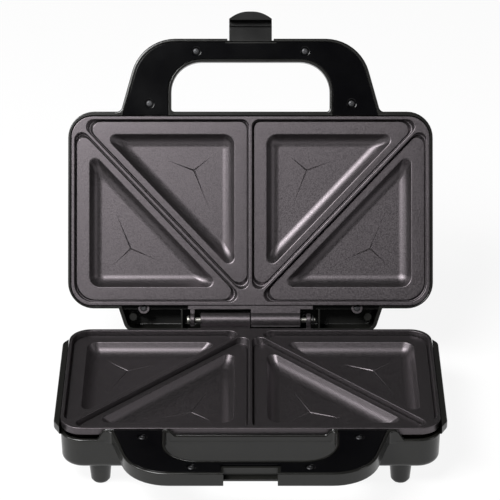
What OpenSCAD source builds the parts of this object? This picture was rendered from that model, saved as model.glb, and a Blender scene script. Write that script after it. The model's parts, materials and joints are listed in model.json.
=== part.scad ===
// Sandwich toaster: two hinged cast plates in moulded housings, with a latch on the handles.
// Each half is drawn as a pan that opens downwards: its land lies at height 0, the plate's back
// edge runs along y = 0, and the front is towards -y. The base is that pan turned over.

/* [Plates] */
// Width of each cooking plate
plate_w = 262; // [240:1:290]
// Depth of each cooking plate, back to front
plate_d = 138.5; // [125:0.5:160]
// Corner radius of a plate
plate_corner_r = 15.5; // [10:0.5:22]
// Height of the plate's outer skirt
skirt_h = 5.5; // [5:0.1:8]
// Depth of the bread seats below the land
seat_depth = 3.4; // [2:0.1:4]
// Width of the land at the sides
rim_side = 2.4; // [2:0.1:5]
// Width of the land at the back
rim_back = 2.7; // [2:0.1:5]
// Width of the land at the front
rim_front = 2.5; // [2:0.1:5]
// Width of the ridge between the two slices
centre_ridge = 2.4; // [2:0.1:6]
// Width of the cutting ridge across a slice
cut_ridge = 2.3; // [1.5:0.1:5]
// Radius of a seat's narrow tips
seat_tip_r = 5.2; // [3:0.1:7]
// Radius of a seat's square corner at the plate's back corners
seat_corner_r = 13.9; // [8:0.1:18]
// Radius of a seat's square corner at the centre ridge
seat_inner_r = 5; // [3:0.5:10]
// Depth of a filling pocket below its seat
pocket_depth = 7.5; // [5:0.5:10]
// Distance from a front seat's straight sides to its pocket
front_margin = 10.4; // [9:0.1:14]
// Distance from a back seat's straight sides to its pocket
back_margin = 11.2; // [9:0.1:14]
// Distance from the cutting ridge to a pocket
cut_margin = 6; // [4:0.1:9]
// How far a pocket's wall slopes inwards
pocket_run = 8.5; // [6:0.5:10]
// Radius of a pocket's square corner
pocket_corner_r = 8; // [5:0.5:12]
// Radius of a pocket's narrow tips
pocket_tip_r = 4.4; // [3:0.1:6]
// Wall thickness of the castings below a pocket
plate_wall = 2.5; // [2:0.1:4]
// Gap between the two lands when closed
plate_gap = 0.5; // [0.4:0.1:2]

/* [Housings] */
// Height of the lid above its land
lid_h = 30; // [27:0.5:45]
// Depth of the base below its land
base_h = 30.6; // [26:0.2:40]
// Wall thickness of the moulded housings
wall = 2.4; // [1.8:0.1:3]
// Width of the lid's rim outside the plate, at the sides
lid_rim_side = 2.4; // [2.2:0.1:5]
// Width of the rims outside the plates, at the front
rim_out_front = 3.4; // [3:0.1:6]
// Width of the rims outside the plates, at the back
rim_out_back = 2.2; // [2:0.1:3]
// Corner radius of the lid
lid_corner_r = 19; // [15:0.5:26]
// How far the lid's and base's rims lie below the lands
rim_drop = 1; // [0.5:0.1:2]
// Gap between a plate's edge and the housing
plate_fit = 0.5; // [0.3:0.1:1]
// Depth below the land of the base's rim at its corners
corner_drop = 7.6; // [6.5:0.1:9]
// Width outside the plate of the lips along the base's sides
lip_w = 4.6; // [3:0.1:7]
// Half length left free at each end of a side lip
lip_end = 14; // [10:1:25]
// Half width of the raised front wall of the base
front_wall_x = 100; // [96:1:106]

/* [Handles] */
// Half width of a handle where it meets its housing
handle_root_x = 95; // [90:0.5:97]
// How far a handle reaches out from its housing
handle_reach = 53.5; // [46:0.5:62]
// How far a handle's side closes in over its reach
handle_taper = 15; // [5:0.5:22]
// Outer corner radius of a handle
handle_r = 33; // [22:0.5:38]
// Width of the grip
grip_w = 17.2; // [15.5:0.1:24]
// Half width of the finger opening
finger_x = 58; // [45:0.5:64]
// Corner radius of the finger opening
finger_r = 22; // [12:0.5:26]
// Thickness of a handle
handle_h = 10.2; // [9:0.1:14]
// Depth of a handle's face below the land
handle_drop = 0.75; // [0.4:0.05:2]
// Width of the rim round a handle's cover
cover_rim = 2; // [1.5:0.1:3]
// Thickness of a handle's cover
cover_t = 1.4; // [1.2:0.1:1.8]
// Depth of a cover's face below the handle's face
cover_sink = 0.3; // [0.2:0.1:0.6]
// Distance from the handle's front edge to the grip's two screws
grip_screw_in = 9.2; // [8:0.1:12]
// Half distance between the grip's two screws
grip_screw_x = 39.8; // [34:0.1:44]
// Half distance between the two screws in the handle's arms
arm_screw_x = 74; // [70:0.1:78]
// Distance from the housing to the screws in the arms
arm_screw_out = 6; // [5:0.1:12]

/* [Latch] */
// Width of the latch
latch_w = 31.4; // [24:0.1:36]
// Length of the latch from its pin to its tip
latch_l = 24.5; // [23:0.1:30]
// Distance from the grip's front edge to the latch pin
latch_pin_in = 4.4; // [4:0.1:6]
// Height of the latch pin above the lid handle's face
latch_pin_up = 5.5; // [5.3:0.1:7]
// Diameter of the latch pin
latch_pin_d = 2.4; // [2:0.1:3]
// Thickness of the latch's flat
latch_t = 3; // [2:0.1:4]
// How far the hook reaches in from the flat
hook_reach = 7.5; // [6.8:0.1:8.2]
// Half width of the recess for the latch in the base's handle
recess_x = 18.2; // [17.5:0.1:22]
// Depth of that recess
recess_in = 10; // [9.5:0.1:11]
// Thickness of the ledge that the hook catches
ledge_t = 1.7; // [1.2:0.1:2.5]
// How far the ledge stands out of the recess
ledge_out = 3.5; // [3:0.1:4]
// Angle from open to hooked
latch_turn = 90; // [80:1:90]

/* [Hinge] */
// Distance of the hinge pin behind the plates
hinge_back = 10.6; // [9.5:0.1:13]
// Height of the hinge pin above the base's land
hinge_up = 1.5; // [0:0.1:3]
// How far the lid opens
lid_open = 118.9; // [95:0.1:119]
// Outside diameter of the hinge barrels
barrel_d = 10.6; // [9:0.1:12]
// Length of each hinge barrel
barrel_l = 36.4; // [30:0.1:40]
// Diameter of the hinge pin
pin_d = 4; // [3:0.1:5]
// Thickness of the two end lugs
lug_t = 3.2; // [2.5:0.1:5]
// Half width of the cover over the hinge, at the lid
cowl_x = 96.3; // [90:0.1:100]
// How far that cover closes in at its back
cowl_taper = 5.6; // [2:0.1:10]
// How far that cover reaches behind the plates
cowl_back = 19; // [18.5:0.1:24]

/* [Feet and cord inlet] */
// Height of the feet below the base
foot_h = 17; // [10:0.5:30]
// Radius at the top of a foot
foot_r = 8; // [6:0.1:10]
// Radius at the bottom of a foot
foot_tip_r = 6.6; // [4:0.1:8]
// Distance of the feet in from the plate's sides
foot_side_in = 27; // [26:1:40]
// Distance of the feet in from the front and back of the base
foot_in = 13.5; // [11:0.5:20]
// Thickness of the rubber pads under the feet
pad_t = 1.6; // [1:0.1:3]
// Bore of the cord inlet
inlet_d = 7; // [6:0.1:9]
// Distance of the cord inlet in from the plate's sides
inlet_side_in = 25; // [24:1:28]

/* [Heating] */
// Diameter of the tubular heaters
heater_d = 6.6; // [6:0.1:7]
// Distance of a heater from the plate's edges
heater_in = 8; // [7:0.1:8.5]
// Thickness of the reflectors
reflector_t = 0.8; // [0.5:0.1:1.5]
// Diameter of the thermostat
thermostat_d = 16; // [14:0.5:17]
// Diameter of the lamp lenses on the lid
lens_d = 8; // [6:0.5:12]
// Half distance between the two lenses
lens_x = 13; // [10:1:30]
// Distance of the lenses in from the plates' back edge
lens_in = 32; // [24:1:60]

/* [Hidden] */

$fn = 48;
round_n = 6;          // steps in each rounded corner of an outline
eps = 0.01;           // how far a cut runs past the face it leaves
big = 400;            // longer than any part
slide_fit = 0.05;     // radial clearance of a pin that turns
screw_fit = 0.1;      // radial clearance round a screw
part_fit = 0.3;       // clearance between separate pieces

shell_back = rim_out_back;
shell_front = plate_d + rim_out_front;
lid_x = plate_w/2 + lid_rim_side;
base_x = plate_w/2 + 0.4;
base_corner_r = lid_corner_r - lid_rim_side;
foot_x = plate_w/2 - foot_side_in;
inlet_x = plate_w/2 - inlet_side_in;
slab_h = skirt_h;
pocket_floor = seat_depth + pocket_depth;
pocket_under = pocket_floor + plate_wall;
reflector_d = pocket_under + 1.6;
base_floor = base_h - wall;
handle_front = shell_front + handle_reach;
grip_back = handle_front - grip_w;

// Screws
plate_screw_l = 10;
clamp_screw_l = 5;
handle_screw_l = 6;
plate_screw_r = 1.5;
plate_head_r = 2.5;
clamp_screw_r = 1.3;
clamp_head_r = 2.2;
handle_screw_r = 1.25;
handle_head_r = 2.2;
handle_recess_r = 3.1;
head_h = 1.1;

// The latch, in the closed lid
cover_edge_in = 1.4;  // how far the lid's grip is cut back in front of the latch
latch_y = handle_front - latch_pin_in;
latch_up = handle_drop + latch_pin_up;
root_r = 2.6;         // radius of the latch's eye round its pin
flat_up = latch_pin_in - cover_edge_in + part_fit;
latch_top = latch_up + flat_up + latch_t;

// The rest position: the lid stands open, and the origin lies under the middle of its bounding box
hinge_rel = hinge_up - plate_gap;
function opened_y(y, up) = hinge_back + (y - hinge_back)*cos(lid_open) + (up - hinge_rel)*sin(lid_open);
reach_back = max(opened_y(-latch_y - latch_l, latch_top), opened_y(-shell_front, lid_h));
mid_y = (reach_back - handle_front)/2;
stand_z = base_h + foot_h;
stop_out = opened_y(cowl_back, rim_drop) - shell_back - part_fit;

// ---- Outlines ----

function unit(v) = v/norm(v);
function turn(a) = a > 180 ? a - 360 : a < -180 ? a + 360 : a;

// Points along an arc from angle a, turning by b
function arc(c, r, a, b, n) = [for (i = [0:n]) c + r*[cos(a + b*i/n), sin(a + b*i/n)]];

// One corner of an outline, rounded to radius r
function fillet(a, p, b, r) = r == 0 ? [p] :
    let(u = unit(a - p), v = unit(b - p), h = acos(u*v)/2, c = p + unit(u + v)*r/sin(h))
    let(s = p + u*r/tan(h) - c, e = p + v*r/tan(h) - c)
    let(t0 = atan2(s[1], s[0]), t1 = atan2(e[1], e[0]))
    arc(c, r, t0, turn(t1 - t0), round_n);

// An outline of the given corners, each rounded to its own radius
function rounded(p, r) =
    let(n = len(p))
    [for (i = [0:n - 1]) each fillet(p[(i + n - 1)%n], p[i], p[(i + 1)%n], is_list(r) ? r[i] : r)];

// Corners of an outline moved in by d, or out where d is negative
function inset(p, d) =
    let(n = len(p))
    [for (i = [0:n - 1])
        let(e = unit(p[i] - p[(i + n - 1)%n]), f = unit(p[(i + 1)%n] - p[i]))
        let(m = [-e[1], e[0]], k = [-f[1], f[0]])
        p[i] + (m + k)*d/(1 + m*k)];

function box_corners(x, front, back) = [[-x, -front], [x, -front], [x, back], [-x, back]];

// Where the line through p along u meets the line through q along v
function meet(p, u, q, v) = p + u*((q - p)[0]*v[1] - (q - p)[1]*v[0])/(u[0]*v[1] - u[1]*v[0]);

function ring(p, z) = [for (q = p) [q[0], q[1], z]];

// A solid skinned over rings that have the same number of points and rise from the first to the last
module loft(rings) {
    n = len(rings[0]);
    m = len(rings);
    side = [for (j = [0:m - 2], i = [0:n - 1])
        let(k = (i + 1)%n)
        each [[j*n + i, j*n + n + i, j*n + n + k], [j*n + i, j*n + n + k, j*n + k]]];
    bottom = [for (i = [0:n - 1]) i];
    top = [for (i = [0:n - 1]) m*n - 1 - i];
    polyhedron([for (r = rings) each r], concat([bottom], side, [top]));
}

// A rounded outline raised from z0 to z1, with its edges chamfered by c
module chamfered(p, r, z0, z1, c) {
    loft([ring(rounded(inset(p, c), r), z0), ring(rounded(p, r), z0 + c),
          ring(rounded(p, r), z1 - c), ring(rounded(inset(p, c), r), z1)]);
}

module slab(p, z0, z1) {
    translate([0, 0, z0]) linear_extrude(z1 - z0) polygon(p);
}

module both() {
    children();
    mirror([1, 0, 0]) children();
}

module post(x, y, z0, z1, r) {
    translate([x, y, z0]) cylinder(h = z1 - z0, r = r);
}

// A rod with round joints through the points p
module rod(p, d) {
    for (i = [0:len(p) - 2]) {
        v = p[i + 1] - p[i];
        translate(p[i])
            rotate([0, acos(v[2]/norm(v)), atan2(v[1], v[0])])
                cylinder(h = norm(v), d = d, $fn = 24);
    }
    for (i = [1:1:len(p) - 2]) translate(p[i]) sphere(d = d*1.1, $fn = 24);
}

// Where the pieces of the lid go: closed over the base, then opened about the hinge pin
module on_lid() {
    translate([0, hinge_back - mid_y, hinge_up + stand_z])
        rotate([-lid_open, 0, 0])
            translate([0, -hinge_back, plate_gap - hinge_up])
                children();
}

module on_base() {
    translate([0, -mid_y, stand_z]) mirror([0, 0, 1]) children();
}

// ---- Cooking plates ----

seat_out = plate_w/2 - rim_side;
seat_in = centre_ridge/2;
seat_front = -(plate_d - rim_front);
seat_back = -rim_back;
cut_dir = unit([seat_in - seat_out, seat_back - seat_front]);
cut_normal = [cut_dir[1], -cut_dir[0]];
front_cut = [seat_out, seat_front] - cut_normal*cut_ridge/2;
back_cut = [seat_out, seat_front] + cut_normal*cut_ridge/2;

// Corners of the two seats in one half of a plate: square corner first, then the two tips
front_seat = [
    [seat_in, seat_front],
    meet(front_cut, cut_dir, [0, seat_front], [1, 0]),
    meet(front_cut, cut_dir, [seat_in, 0], [0, 1])
];
back_seat = [
    [seat_out, seat_back],
    meet(back_cut, cut_dir, [0, seat_back], [1, 0]),
    meet(back_cut, cut_dir, [seat_out, 0], [0, 1])
];

// A seat's corners moved in by m at its two straight sides and by c at the cutting ridge
function pocket_corners(seat, m, c) =
    let(q = seat[0], u = unit(seat[1] - q), v = unit(seat[2] - q), w = unit(seat[2] - seat[1]))
    let(o = q + (u + v)*m, g = [-w[1], w[0]])
    let(cut = seat[1] + g*c)
    [o, meet(cut, w, o, u), meet(cut, w, o, v)];

front_pocket = pocket_corners(front_seat, front_margin, cut_margin);
back_pocket = pocket_corners(back_seat, back_margin, cut_margin);
pocket_r = [pocket_corner_r, pocket_tip_r, pocket_tip_r];
floor_r = [pocket_corner_r - 3, pocket_tip_r - 1, pocket_tip_r - 1];
pocket_edge = 0.3;    // rounding between a pocket and its seat
knee_run = 0.78;      // where a pocket's wall turns into its floor, as a share of the run
knee_depth = 0.88;    // and as a share of the depth

function pocket_ring(p, in, z, r) = ring(rounded(inset(p, in), r), z);

module pocket(p) {
    loft([
        pocket_ring(p, -pocket_edge, seat_depth - pocket_edge, pocket_r),
        pocket_ring(p, pocket_edge, seat_depth + pocket_edge, pocket_r),
        pocket_ring(p, pocket_run*knee_run, seat_depth + pocket_depth*knee_depth, floor_r),
        pocket_ring(p, pocket_run, pocket_floor, floor_r)
    ]);
}

module pocket_shell(p) {
    loft([
        pocket_ring(p, -plate_wall, slab_h - 1, pocket_r),
        pocket_ring(p, pocket_run*knee_run - plate_wall, pocket_under - 1, pocket_r),
        pocket_ring(p, pocket_run - plate_wall, pocket_under, pocket_r)
    ]);
}

// Three tapered creases that meet on a pocket's floor
crease_reach = [0.5, 0.42, 0.42];
crease_w = 1.8;
crease_depth = 0.5;
module creases(p) {
    f = inset(p, pocket_run);
    side = [norm(f[1] - f[2]), norm(f[2] - f[0]), norm(f[0] - f[1])];
    mid = (f[0]*side[0] + f[1]*side[1] + f[2]*side[2])/(side[0] + side[1] + side[2]);
    for (i = [0:2]) {
        d = unit(f[i] - mid);
        s = [-d[1], d[0]]*crease_w/2;
        slab([mid - s, mid + (f[i] - mid)*crease_reach[i], mid + s],
             pocket_floor - 1, pocket_floor + crease_depth);
    }
}

boss_r = 3;
boss_top = slab_h + heater_d + 0.1;
clamp_t = 1;
corner_boss = [plate_w/2 - 18, -(plate_d - 17.5)];
rear_boss = [12, -18];
lug_r = 4.1;
lug_x = 78;
lug_y = 2;
lug_top = 3;
lug_h = 3;
lug_hole = 12;        // depth of the screw holes below the lugs
tongue_w = 16;
tongue_x = 70;
tongue_out = 2;
tongue_h = 2;
tab_x = barrel_l + 2*lug_t + 3;
tab_back = 3;
web_in = 1;
plate_edge = 0.5;     // chamfer of a plate's edges
lug_seat = 1.4;       // depth of the screw heads' seats in the lugs

// The casting that both plates share
module plate_casting() {
    difference() {
        union() {
            chamfered(box_corners(plate_w/2, plate_d, 0), plate_corner_r, 0, skirt_h, plate_edge);
            both() {
                pocket_shell(front_pocket);
                pocket_shell(back_pocket);
                post(corner_boss[0], corner_boss[1], slab_h - 1, boss_top, boss_r);
                post(rear_boss[0], rear_boss[1], slab_h - 1, boss_top, boss_r);
                post(lug_x, lug_y, lug_top, lug_top + lug_h, lug_r);
                translate([tongue_x - tongue_w/2, -plate_d - tongue_out, skirt_h - tongue_h])
                    cube([tongue_w, tongue_out + 2, tongue_h]);
            }
            translate([-tab_x, -tab_back, web_in]) cube([2*tab_x, 2*tab_back, skirt_h - web_in]);
        }
        both() {
            slab(rounded(front_seat, [seat_inner_r, seat_tip_r, seat_tip_r]), -1, seat_depth);
            slab(rounded(back_seat, [seat_corner_r, seat_tip_r, seat_tip_r]), -1, seat_depth);
            pocket(front_pocket);
            pocket(back_pocket);
            creases(front_pocket);
            creases(back_pocket);
            post(corner_boss[0], corner_boss[1], slab_h + 1, big, clamp_screw_r + screw_fit);
            post(rear_boss[0], rear_boss[1], slab_h + 1, big, clamp_screw_r + screw_fit);
            post(lug_x, lug_y, -1, big, plate_screw_r + screw_fit);
            post(lug_x, lug_y, -1, lug_top + lug_seat, plate_head_r + part_fit - screw_fit);
        }
    }
}

// A hinge barrel from x0 to x1, in a pan whose hinge pin lies at height h
module barrel(x0, x1, h, d) {
    translate([x0, 0, 0]) difference() {
        union() {
            translate([0, hinge_back, h]) rotate([0, 90, 0]) cylinder(h = x1 - x0, d = d);
            translate([0, tab_back - 1, web_in])
                cube([x1 - x0, hinge_back - tab_back + 1, min(skirt_h, h + d/2 - 0.5) - web_in]);
        }
        translate([-1, hinge_back, h])
            rotate([0, 90, 0])
                cylinder(h = x1 - x0 + 2, r = pin_d/2 + slide_fit);
    }
}

barrel_gap = 0.2;     // half the gap between the two barrels
lug_gap = 0.8;        // gap between a lug and the head or clip of the pin
end_gap = 4.2;        // gap between a barrel and the other plate's lug
end_lug_x = barrel_l + barrel_gap + end_gap;

module hinged_plate(h, side) {
    plate_casting();
    mirror([side < 0 ? 1 : 0, 0, 0]) barrel(barrel_gap, barrel_l, h, barrel_d);
    mirror([side < 0 ? 0 : 1, 0, 0]) barrel(end_lug_x, end_lug_x + lug_t, h, barrel_d - 1);
}

module lower_plate() {
    color("#2e2c2b") on_base() hinged_plate(-hinge_up, -1);
}

module upper_plate() {
    color("#6b6467") on_lid() hinged_plate(hinge_rel, 1);
}

// ---- Hinge pin ----

pin_end = end_lug_x + lug_t + lug_gap;
pin_tail = 2.5;
pin_head_t = 1.6;
pin_head_out = 1.2;
clip_t = 0.8;
clip_out = 1.6;
groove_in = 0.5;
clip_slot = 0.6;

module hinge_pin() {
    color("silver")
        translate([-pin_end, hinge_back - mid_y, hinge_up + stand_z])
            rotate([0, 90, 0])
                difference() {
                    union() {
                        cylinder(h = 2*pin_end + pin_tail, d = pin_d);
                        translate([0, 0, -pin_head_t]) cylinder(h = pin_head_t, r = pin_d/2 + pin_head_out);
                    }
                    translate([0, 0, 2*pin_end + barrel_gap]) clip_groove();
                }
}

module clip_groove() {
    difference() {
        cylinder(h = clip_t + 2*slide_fit, r = pin_d);
        translate([0, 0, -1]) cylinder(h = clip_t + 3, r = pin_d/2 - groove_in);
    }
}

module hinge_pin_clip() {
    color("dimgray")
        translate([pin_end + barrel_gap + slide_fit, hinge_back - mid_y, hinge_up + stand_z])
            rotate([0, 90, 0])
                difference() {
                    cylinder(h = clip_t, r = pin_d/2 + clip_out);
                    translate([0, 0, -1]) cylinder(h = clip_t + 2, r = pin_d/2 - groove_in + slide_fit);
                    translate([0, -pin_d/2 + clip_slot, -1])
                        cube([pin_d + 2, pin_d - 2*clip_slot, clip_t + 2]);
                }
}

// ---- Handles ----

screw_spots = [
    [grip_screw_x, -(handle_front - grip_screw_in)],
    [arm_screw_x, -(shell_front + arm_screw_out)]
];

handle_tip_x = handle_root_x - handle_taper;
finger_lap = 4;       // how far the finger opening's outline runs in under the housing's front
handle_lap = 0.6;     // how far a handle runs into the housing's wall
handle_edge = 0.9;    // chamfer of a handle's edges
handle_outer = [
    [-handle_tip_x, -handle_front], [handle_tip_x, -handle_front],
    [handle_root_x, -shell_front], [-handle_root_x, -shell_front]
];
finger_hole = [
    [-finger_x, -grip_back], [finger_x, -grip_back],
    [finger_x, -shell_front + finger_lap], [-finger_x, -shell_front + finger_lap]
];

// The same sides, run on under the housing's front up to the plate
ring_root_x = handle_root_x + (shell_front - plate_d)*handle_taper/handle_reach;
ring_outer = [
    [-handle_tip_x, -handle_front], [handle_tip_x, -handle_front],
    [ring_root_x, -plate_d + cover_rim], [-ring_root_x, -plate_d + cover_rim]
];

module handle_ring(in, z0, z1, back) {
    difference() {
        slab(rounded(inset(ring_outer, in), [handle_r - in, handle_r - in, 0, 0]), z0, z1);
        slab(rounded(inset(finger_hole, -in), [finger_r + in, finger_r + in, 0, 0]), z0 - 1, z1 + 1);
        translate([-big, -back, z0 - 1]) cube([2*big, big, z1 - z0 + 2]);
    }
}

function finger_ring(out, z) =
    ring(rounded(inset(finger_hole, -out), [finger_r + out, finger_r + out, 0, 0]), z);

// Edges of the handle's ring, rounded at its outer side and round the finger opening
module handle_body() {
    edge = handle_edge;
    z0 = handle_drop;
    z1 = handle_drop + handle_h;
    difference() {
        chamfered(handle_outer, [handle_r, handle_r, 0, 0], z0, z1, edge);
        loft([finger_ring(edge, z0 - eps), finger_ring(0, z0 + edge),
              finger_ring(0, z1 - edge), finger_ring(edge, z1 + eps)]);
        translate([-big, -shell_front + handle_lap, -1]) cube([2*big, big, big]);
    }
}

cover_bed = handle_drop + cover_sink + cover_t;
cover_seat = 0.9;     // depth of the screws' recesses in a cover
cover_fit = 0.15;     // gap round a cover
hollow_floor = handle_drop + handle_h - wall;
solid_x = latch_w/2 + 8;      // half width of the solid middle of a grip
pin_hole_in = 3;      // how far short of that the latch pin's hole ends

cover_back = plate_d + plate_fit + 0.3;

// The cover's bed, which runs on over the housing's front wall
module cover_bed_cut() {
    handle_ring(cover_rim, handle_drop - 1, cover_bed, plate_d + plate_fit/2);
}

// What is cut from a handle for its hollow and its screws
module handle_cuts() {
    difference() {
        handle_ring(cover_rim + wall, cover_bed - eps, hollow_floor, shell_front + cover_rim + wall);
        translate([-solid_x, -big, 0]) cube([2*solid_x, big, big]);
        both() for (s = screw_spots) post(s[0], s[1], 0, big, handle_recess_r);
    }
    both() for (s = screw_spots)
        post(s[0], s[1], cover_bed - 1, hollow_floor, handle_screw_r + screw_fit);
}

module handle_cover_plate() {
    difference() {
        handle_ring(cover_rim + cover_fit, handle_drop + cover_sink, cover_bed, cover_back);
        both() for (s = screw_spots) {
            post(s[0], s[1], 0, big, handle_screw_r + screw_fit);
            post(s[0], s[1], 0, handle_drop + cover_sink + cover_seat, handle_recess_r);
        }
    }
}

// A screw whose head lies at z with its shank rising from it
module screw(head_r, head_h, shank_r, shank_l) {
    slot_l = head_r*1.3;
    slot_w = 0.5;
    difference() {
        cylinder(h = head_h, r = head_r);
        for (a = [0, 90])
            rotate([0, 0, a]) translate([-slot_l/2, -slot_w/2, -1]) cube([slot_l, slot_w, 1 + head_h/2]);
    }
    translate([0, 0, head_h - eps]) cylinder(h = shank_l, r = shank_r);
}

module handle_screws() {
    both() for (s = screw_spots)
        translate([s[0], s[1], handle_drop + cover_sink + 0.15])
            screw(handle_head_r, cover_seat - 0.16, handle_screw_r, handle_screw_l);
}

module latch_pocket() {
    w = latch_w/2 + part_fit;
    translate([-w - 1, -handle_front - 1, 0]) cube([2*w + 2, 1 + cover_edge_in, big]);
    translate([-w, -handle_front - 1, latch_up - root_r - part_fit - 0.05])
        cube([2*w, 1 + latch_pin_in + root_r + part_fit, big]);
    translate([-solid_x + pin_hole_in, -latch_y, latch_up])
        rotate([0, 90, 0])
            cylinder(h = 2*(solid_x - pin_hole_in), r = latch_pin_d/2 + slide_fit);
}

module lid_cover_notch() {
    w = latch_w/2 + part_fit + 1 + cover_rim;
    translate([-w, -handle_front - 1, 0]) cube([2*w, 1 + cover_edge_in + cover_rim, cover_bed]);
}

module latch_recess() {
    difference() {
        translate([-recess_x, -handle_front - 1, 0]) cube([2*recess_x, 1 + recess_in, big]);
        translate([-recess_x, -handle_front + recess_in - ledge_out, handle_drop + handle_h - ledge_t])
            cube([2*recess_x, ledge_out + 1, ledge_t]);
    }
}

module base_cover_notch() {
    w = recess_x + cover_rim;
    translate([-w, -handle_front - 1, 0]) cube([2*w, 1 + recess_in + cover_rim, cover_bed]);
}

// ---- Lid housing ----

cowl_in = 12;
cowl_front_x = cowl_x + cowl_taper*cowl_in/(cowl_back - shell_back);
cowl = [
    [-cowl_front_x, shell_back - cowl_in], [cowl_front_x, shell_back - cowl_in],
    [cowl_x - cowl_taper, cowl_back], [-cowl_x + cowl_taper, cowl_back]
];
cowl_h = lid_h - 4;
lid_outline = box_corners(lid_x, shell_front, shell_back);

// Rings of a domed pan: rows hold how far in and how high each ring lies
function dome(p, r, rows) =
    [for (q = rows) ring(rounded(inset(p, q[0]), max(r - q[0]*0.7, 2)), q[1])];

lid_rows = [
    [0.4, rim_drop], [0, rim_drop + 0.6], [0, lid_h*0.7],
    [1.2, lid_h*0.85], [4, lid_h*0.95], [9, lid_h]
];
cowl_rows = [
    [0.4, rim_drop], [0, rim_drop + 0.6], [0, cowl_h*0.7], [1.5, cowl_h*0.88], [5, cowl_h]
];
cowl_r = 8;

module lid_shell() {
    loft(dome(lid_outline, lid_corner_r, lid_rows));
    loft(dome(cowl, cowl_r, cowl_rows));
}

inner_x = plate_w/2 + plate_fit;
inner_front = plate_d + plate_fit;

inner_outline = box_corners(inner_x, inner_front, plate_fit);
inner_rows = [[0, 0], [0, lid_h*0.7], [1.5, lid_h*0.85 - 2], [6, lid_h - wall]];
cowl_inner_rows = [[wall, 0], [wall, cowl_h*0.7], [wall + 3, cowl_h - wall]];

module lid_hollow() {
    loft(dome(inner_outline, plate_corner_r + plate_fit, inner_rows));
    difference() {
        loft(dome(cowl, cowl_r, cowl_inner_rows));
        translate([-big, -big + plate_fit + wall, skirt_h + 1]) cube([2*big, big, big]);
    }
}

rib_x = 49.5;
rib_t = 1.4;
cowl_post_x = lug_x + 8;
cowl_post_y = 8.4;
cowl_post_r = 3;
deep = 4;             // depth below the land at which the ribs and posts of the housings begin

module lid_inside() {
    both() {
        post(lug_x, lug_y, lug_top + lug_h, lid_h*0.8, lug_r);
        translate([rib_x, wall + plate_fit, deep])
            cube([rib_t, cowl_back - wall - plate_fit - 1, cowl_h*0.7]);
        post(cowl_post_x, cowl_post_y, deep + 1, cowl_h - 1, cowl_post_r);
        post(reflector_post_x, -plate_d/2, reflector_d + reflector_t, lid_h - wall/2, reflector_post_r);
    }
}

reflector_post_x = 60;
reflector_post_r = 4;
tongue_fit = 0.2;

// Holes for the plate's screws and slots for its tongues
module plate_fixings() {
    slot_top = skirt_h - tongue_h - part_fit;
    both() {
        post(lug_x, lug_y, 0, lug_top + lug_h + lug_hole, plate_screw_r + screw_fit);
        translate([tongue_x - tongue_w/2 - tongue_fit, -plate_d - tongue_out - part_fit, slot_top])
            cube([tongue_w + 2*tongue_fit, tongue_out + 1, tongue_h + 2*part_fit]);
    }
}

module lid_housing() {
    color("#262626") on_lid() difference() {
        union() {
            difference() {
                lid_shell();
                lid_hollow();
            }
            intersection() {
                lid_shell();
                lid_inside();
            }
            difference() {
                handle_body();
                handle_cuts();
            }
        }
        cover_bed_cut();
        plate_fixings();
        latch_pocket();
        both() post(lens_x, -lens_in, lid_h - wall - 1, big, lens_d/2 + screw_fit);
    }
}

module lid_handle_cover() {
    color("#1c1c1c") on_lid() difference() {
        handle_cover_plate();
        lid_cover_notch();
    }
}

module lid_handle_screws() {
    color("silver") on_lid() handle_screws();
}

// ---- Latch ----

latch_dome = 5.5;     // rise of the latch's curved tip
latch_slot = 2.8;     // gap between the hook and the rib behind it
latch_rib_t = 1.2;
latch_rib_h = 2.6;
catch_fit = 0.5;      // play between the hook and the ledge

module latch() {
    w = latch_w/2;
    side = latch_l - latch_dome;
    catch_at = plate_gap + latch_up + handle_drop + handle_h + catch_fit;
    dome_r = (w*w + latch_dome*latch_dome)/(2*latch_dome);
    dome = asin(w/dome_r);
    hook_up = flat_up - hook_reach;
    tip = arc([0, dome_r - latch_l], dome_r, -90 - dome, 2*dome, 16);
    outline = concat([[-w, root_r]], tip, [[w, root_r]]);
    color("#303030") on_lid() translate([0, -latch_y, latch_up]) difference() {
        union() {
            rotate([0, 90, 0]) translate([0, 0, -w]) cylinder(h = 2*w, r = root_r);
            intersection() {
                slab(outline, -20, 20);
                union() {
                    translate([-w, -root_r, 0]) cube([2*w, 2*root_r, flat_up + latch_t]);
                    translate([-w, -latch_l - 1, flat_up]) cube([2*w, latch_l + 1 + root_r, latch_t]);
                    translate([-w, -latch_l - 1, hook_up])
                        cube([2*w, latch_l + 1 - catch_at, hook_reach + 1]);
                    translate([-w, -catch_at + latch_slot, flat_up - latch_rib_h])
                        cube([2*w, latch_rib_t, latch_rib_h + 1]);
                }
            }
        }
        translate([-w - 1, 0, 0]) rotate([0, 90, 0]) cylinder(h = 2*w + 2, r = latch_pin_d/2 + slide_fit);
    }
}

module latch_pin() {
    color("silver") on_lid()
        translate([-solid_x + pin_hole_in + part_fit, -latch_y, latch_up])
            rotate([0, 90, 0])
                cylinder(h = 2*(solid_x - pin_hole_in - part_fit), d = latch_pin_d);
}

// ---- Base housing ----

base_outline = box_corners(base_x, shell_front, shell_back);
base_rows = [
    [0.4, corner_drop], [0, corner_drop + 0.5], [0, corner_drop + 1.6], [0.5, corner_drop + 2],
    [0.9, base_h - 4], [2.1, base_h - 1.2], [5, base_h]
];
base_inner_rows = [[wall, corner_drop - 1], [wall + 1.1, base_h - 4.5], [wall + 3.6, base_floor]];

lip_root = 1.5;       // how far a lip's root reaches in under the plate
lip_slant = 4;        // length of a lip's slanted ends
lip_r = 8;

// Rows of a side lip: how far in, how deep, and how far its root reaches under the plate
lip_rows = [
    [0.8, rim_drop, 0], [0.15, rim_drop + 0.8, 0], [0, rim_drop + 2.5, 0],
    [0, corner_drop - 1.5, 0], [0.9, corner_drop, 0],
    [1, corner_drop + 0.1, lip_root], [3.5, corner_drop + 3, lip_root]
];

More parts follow.
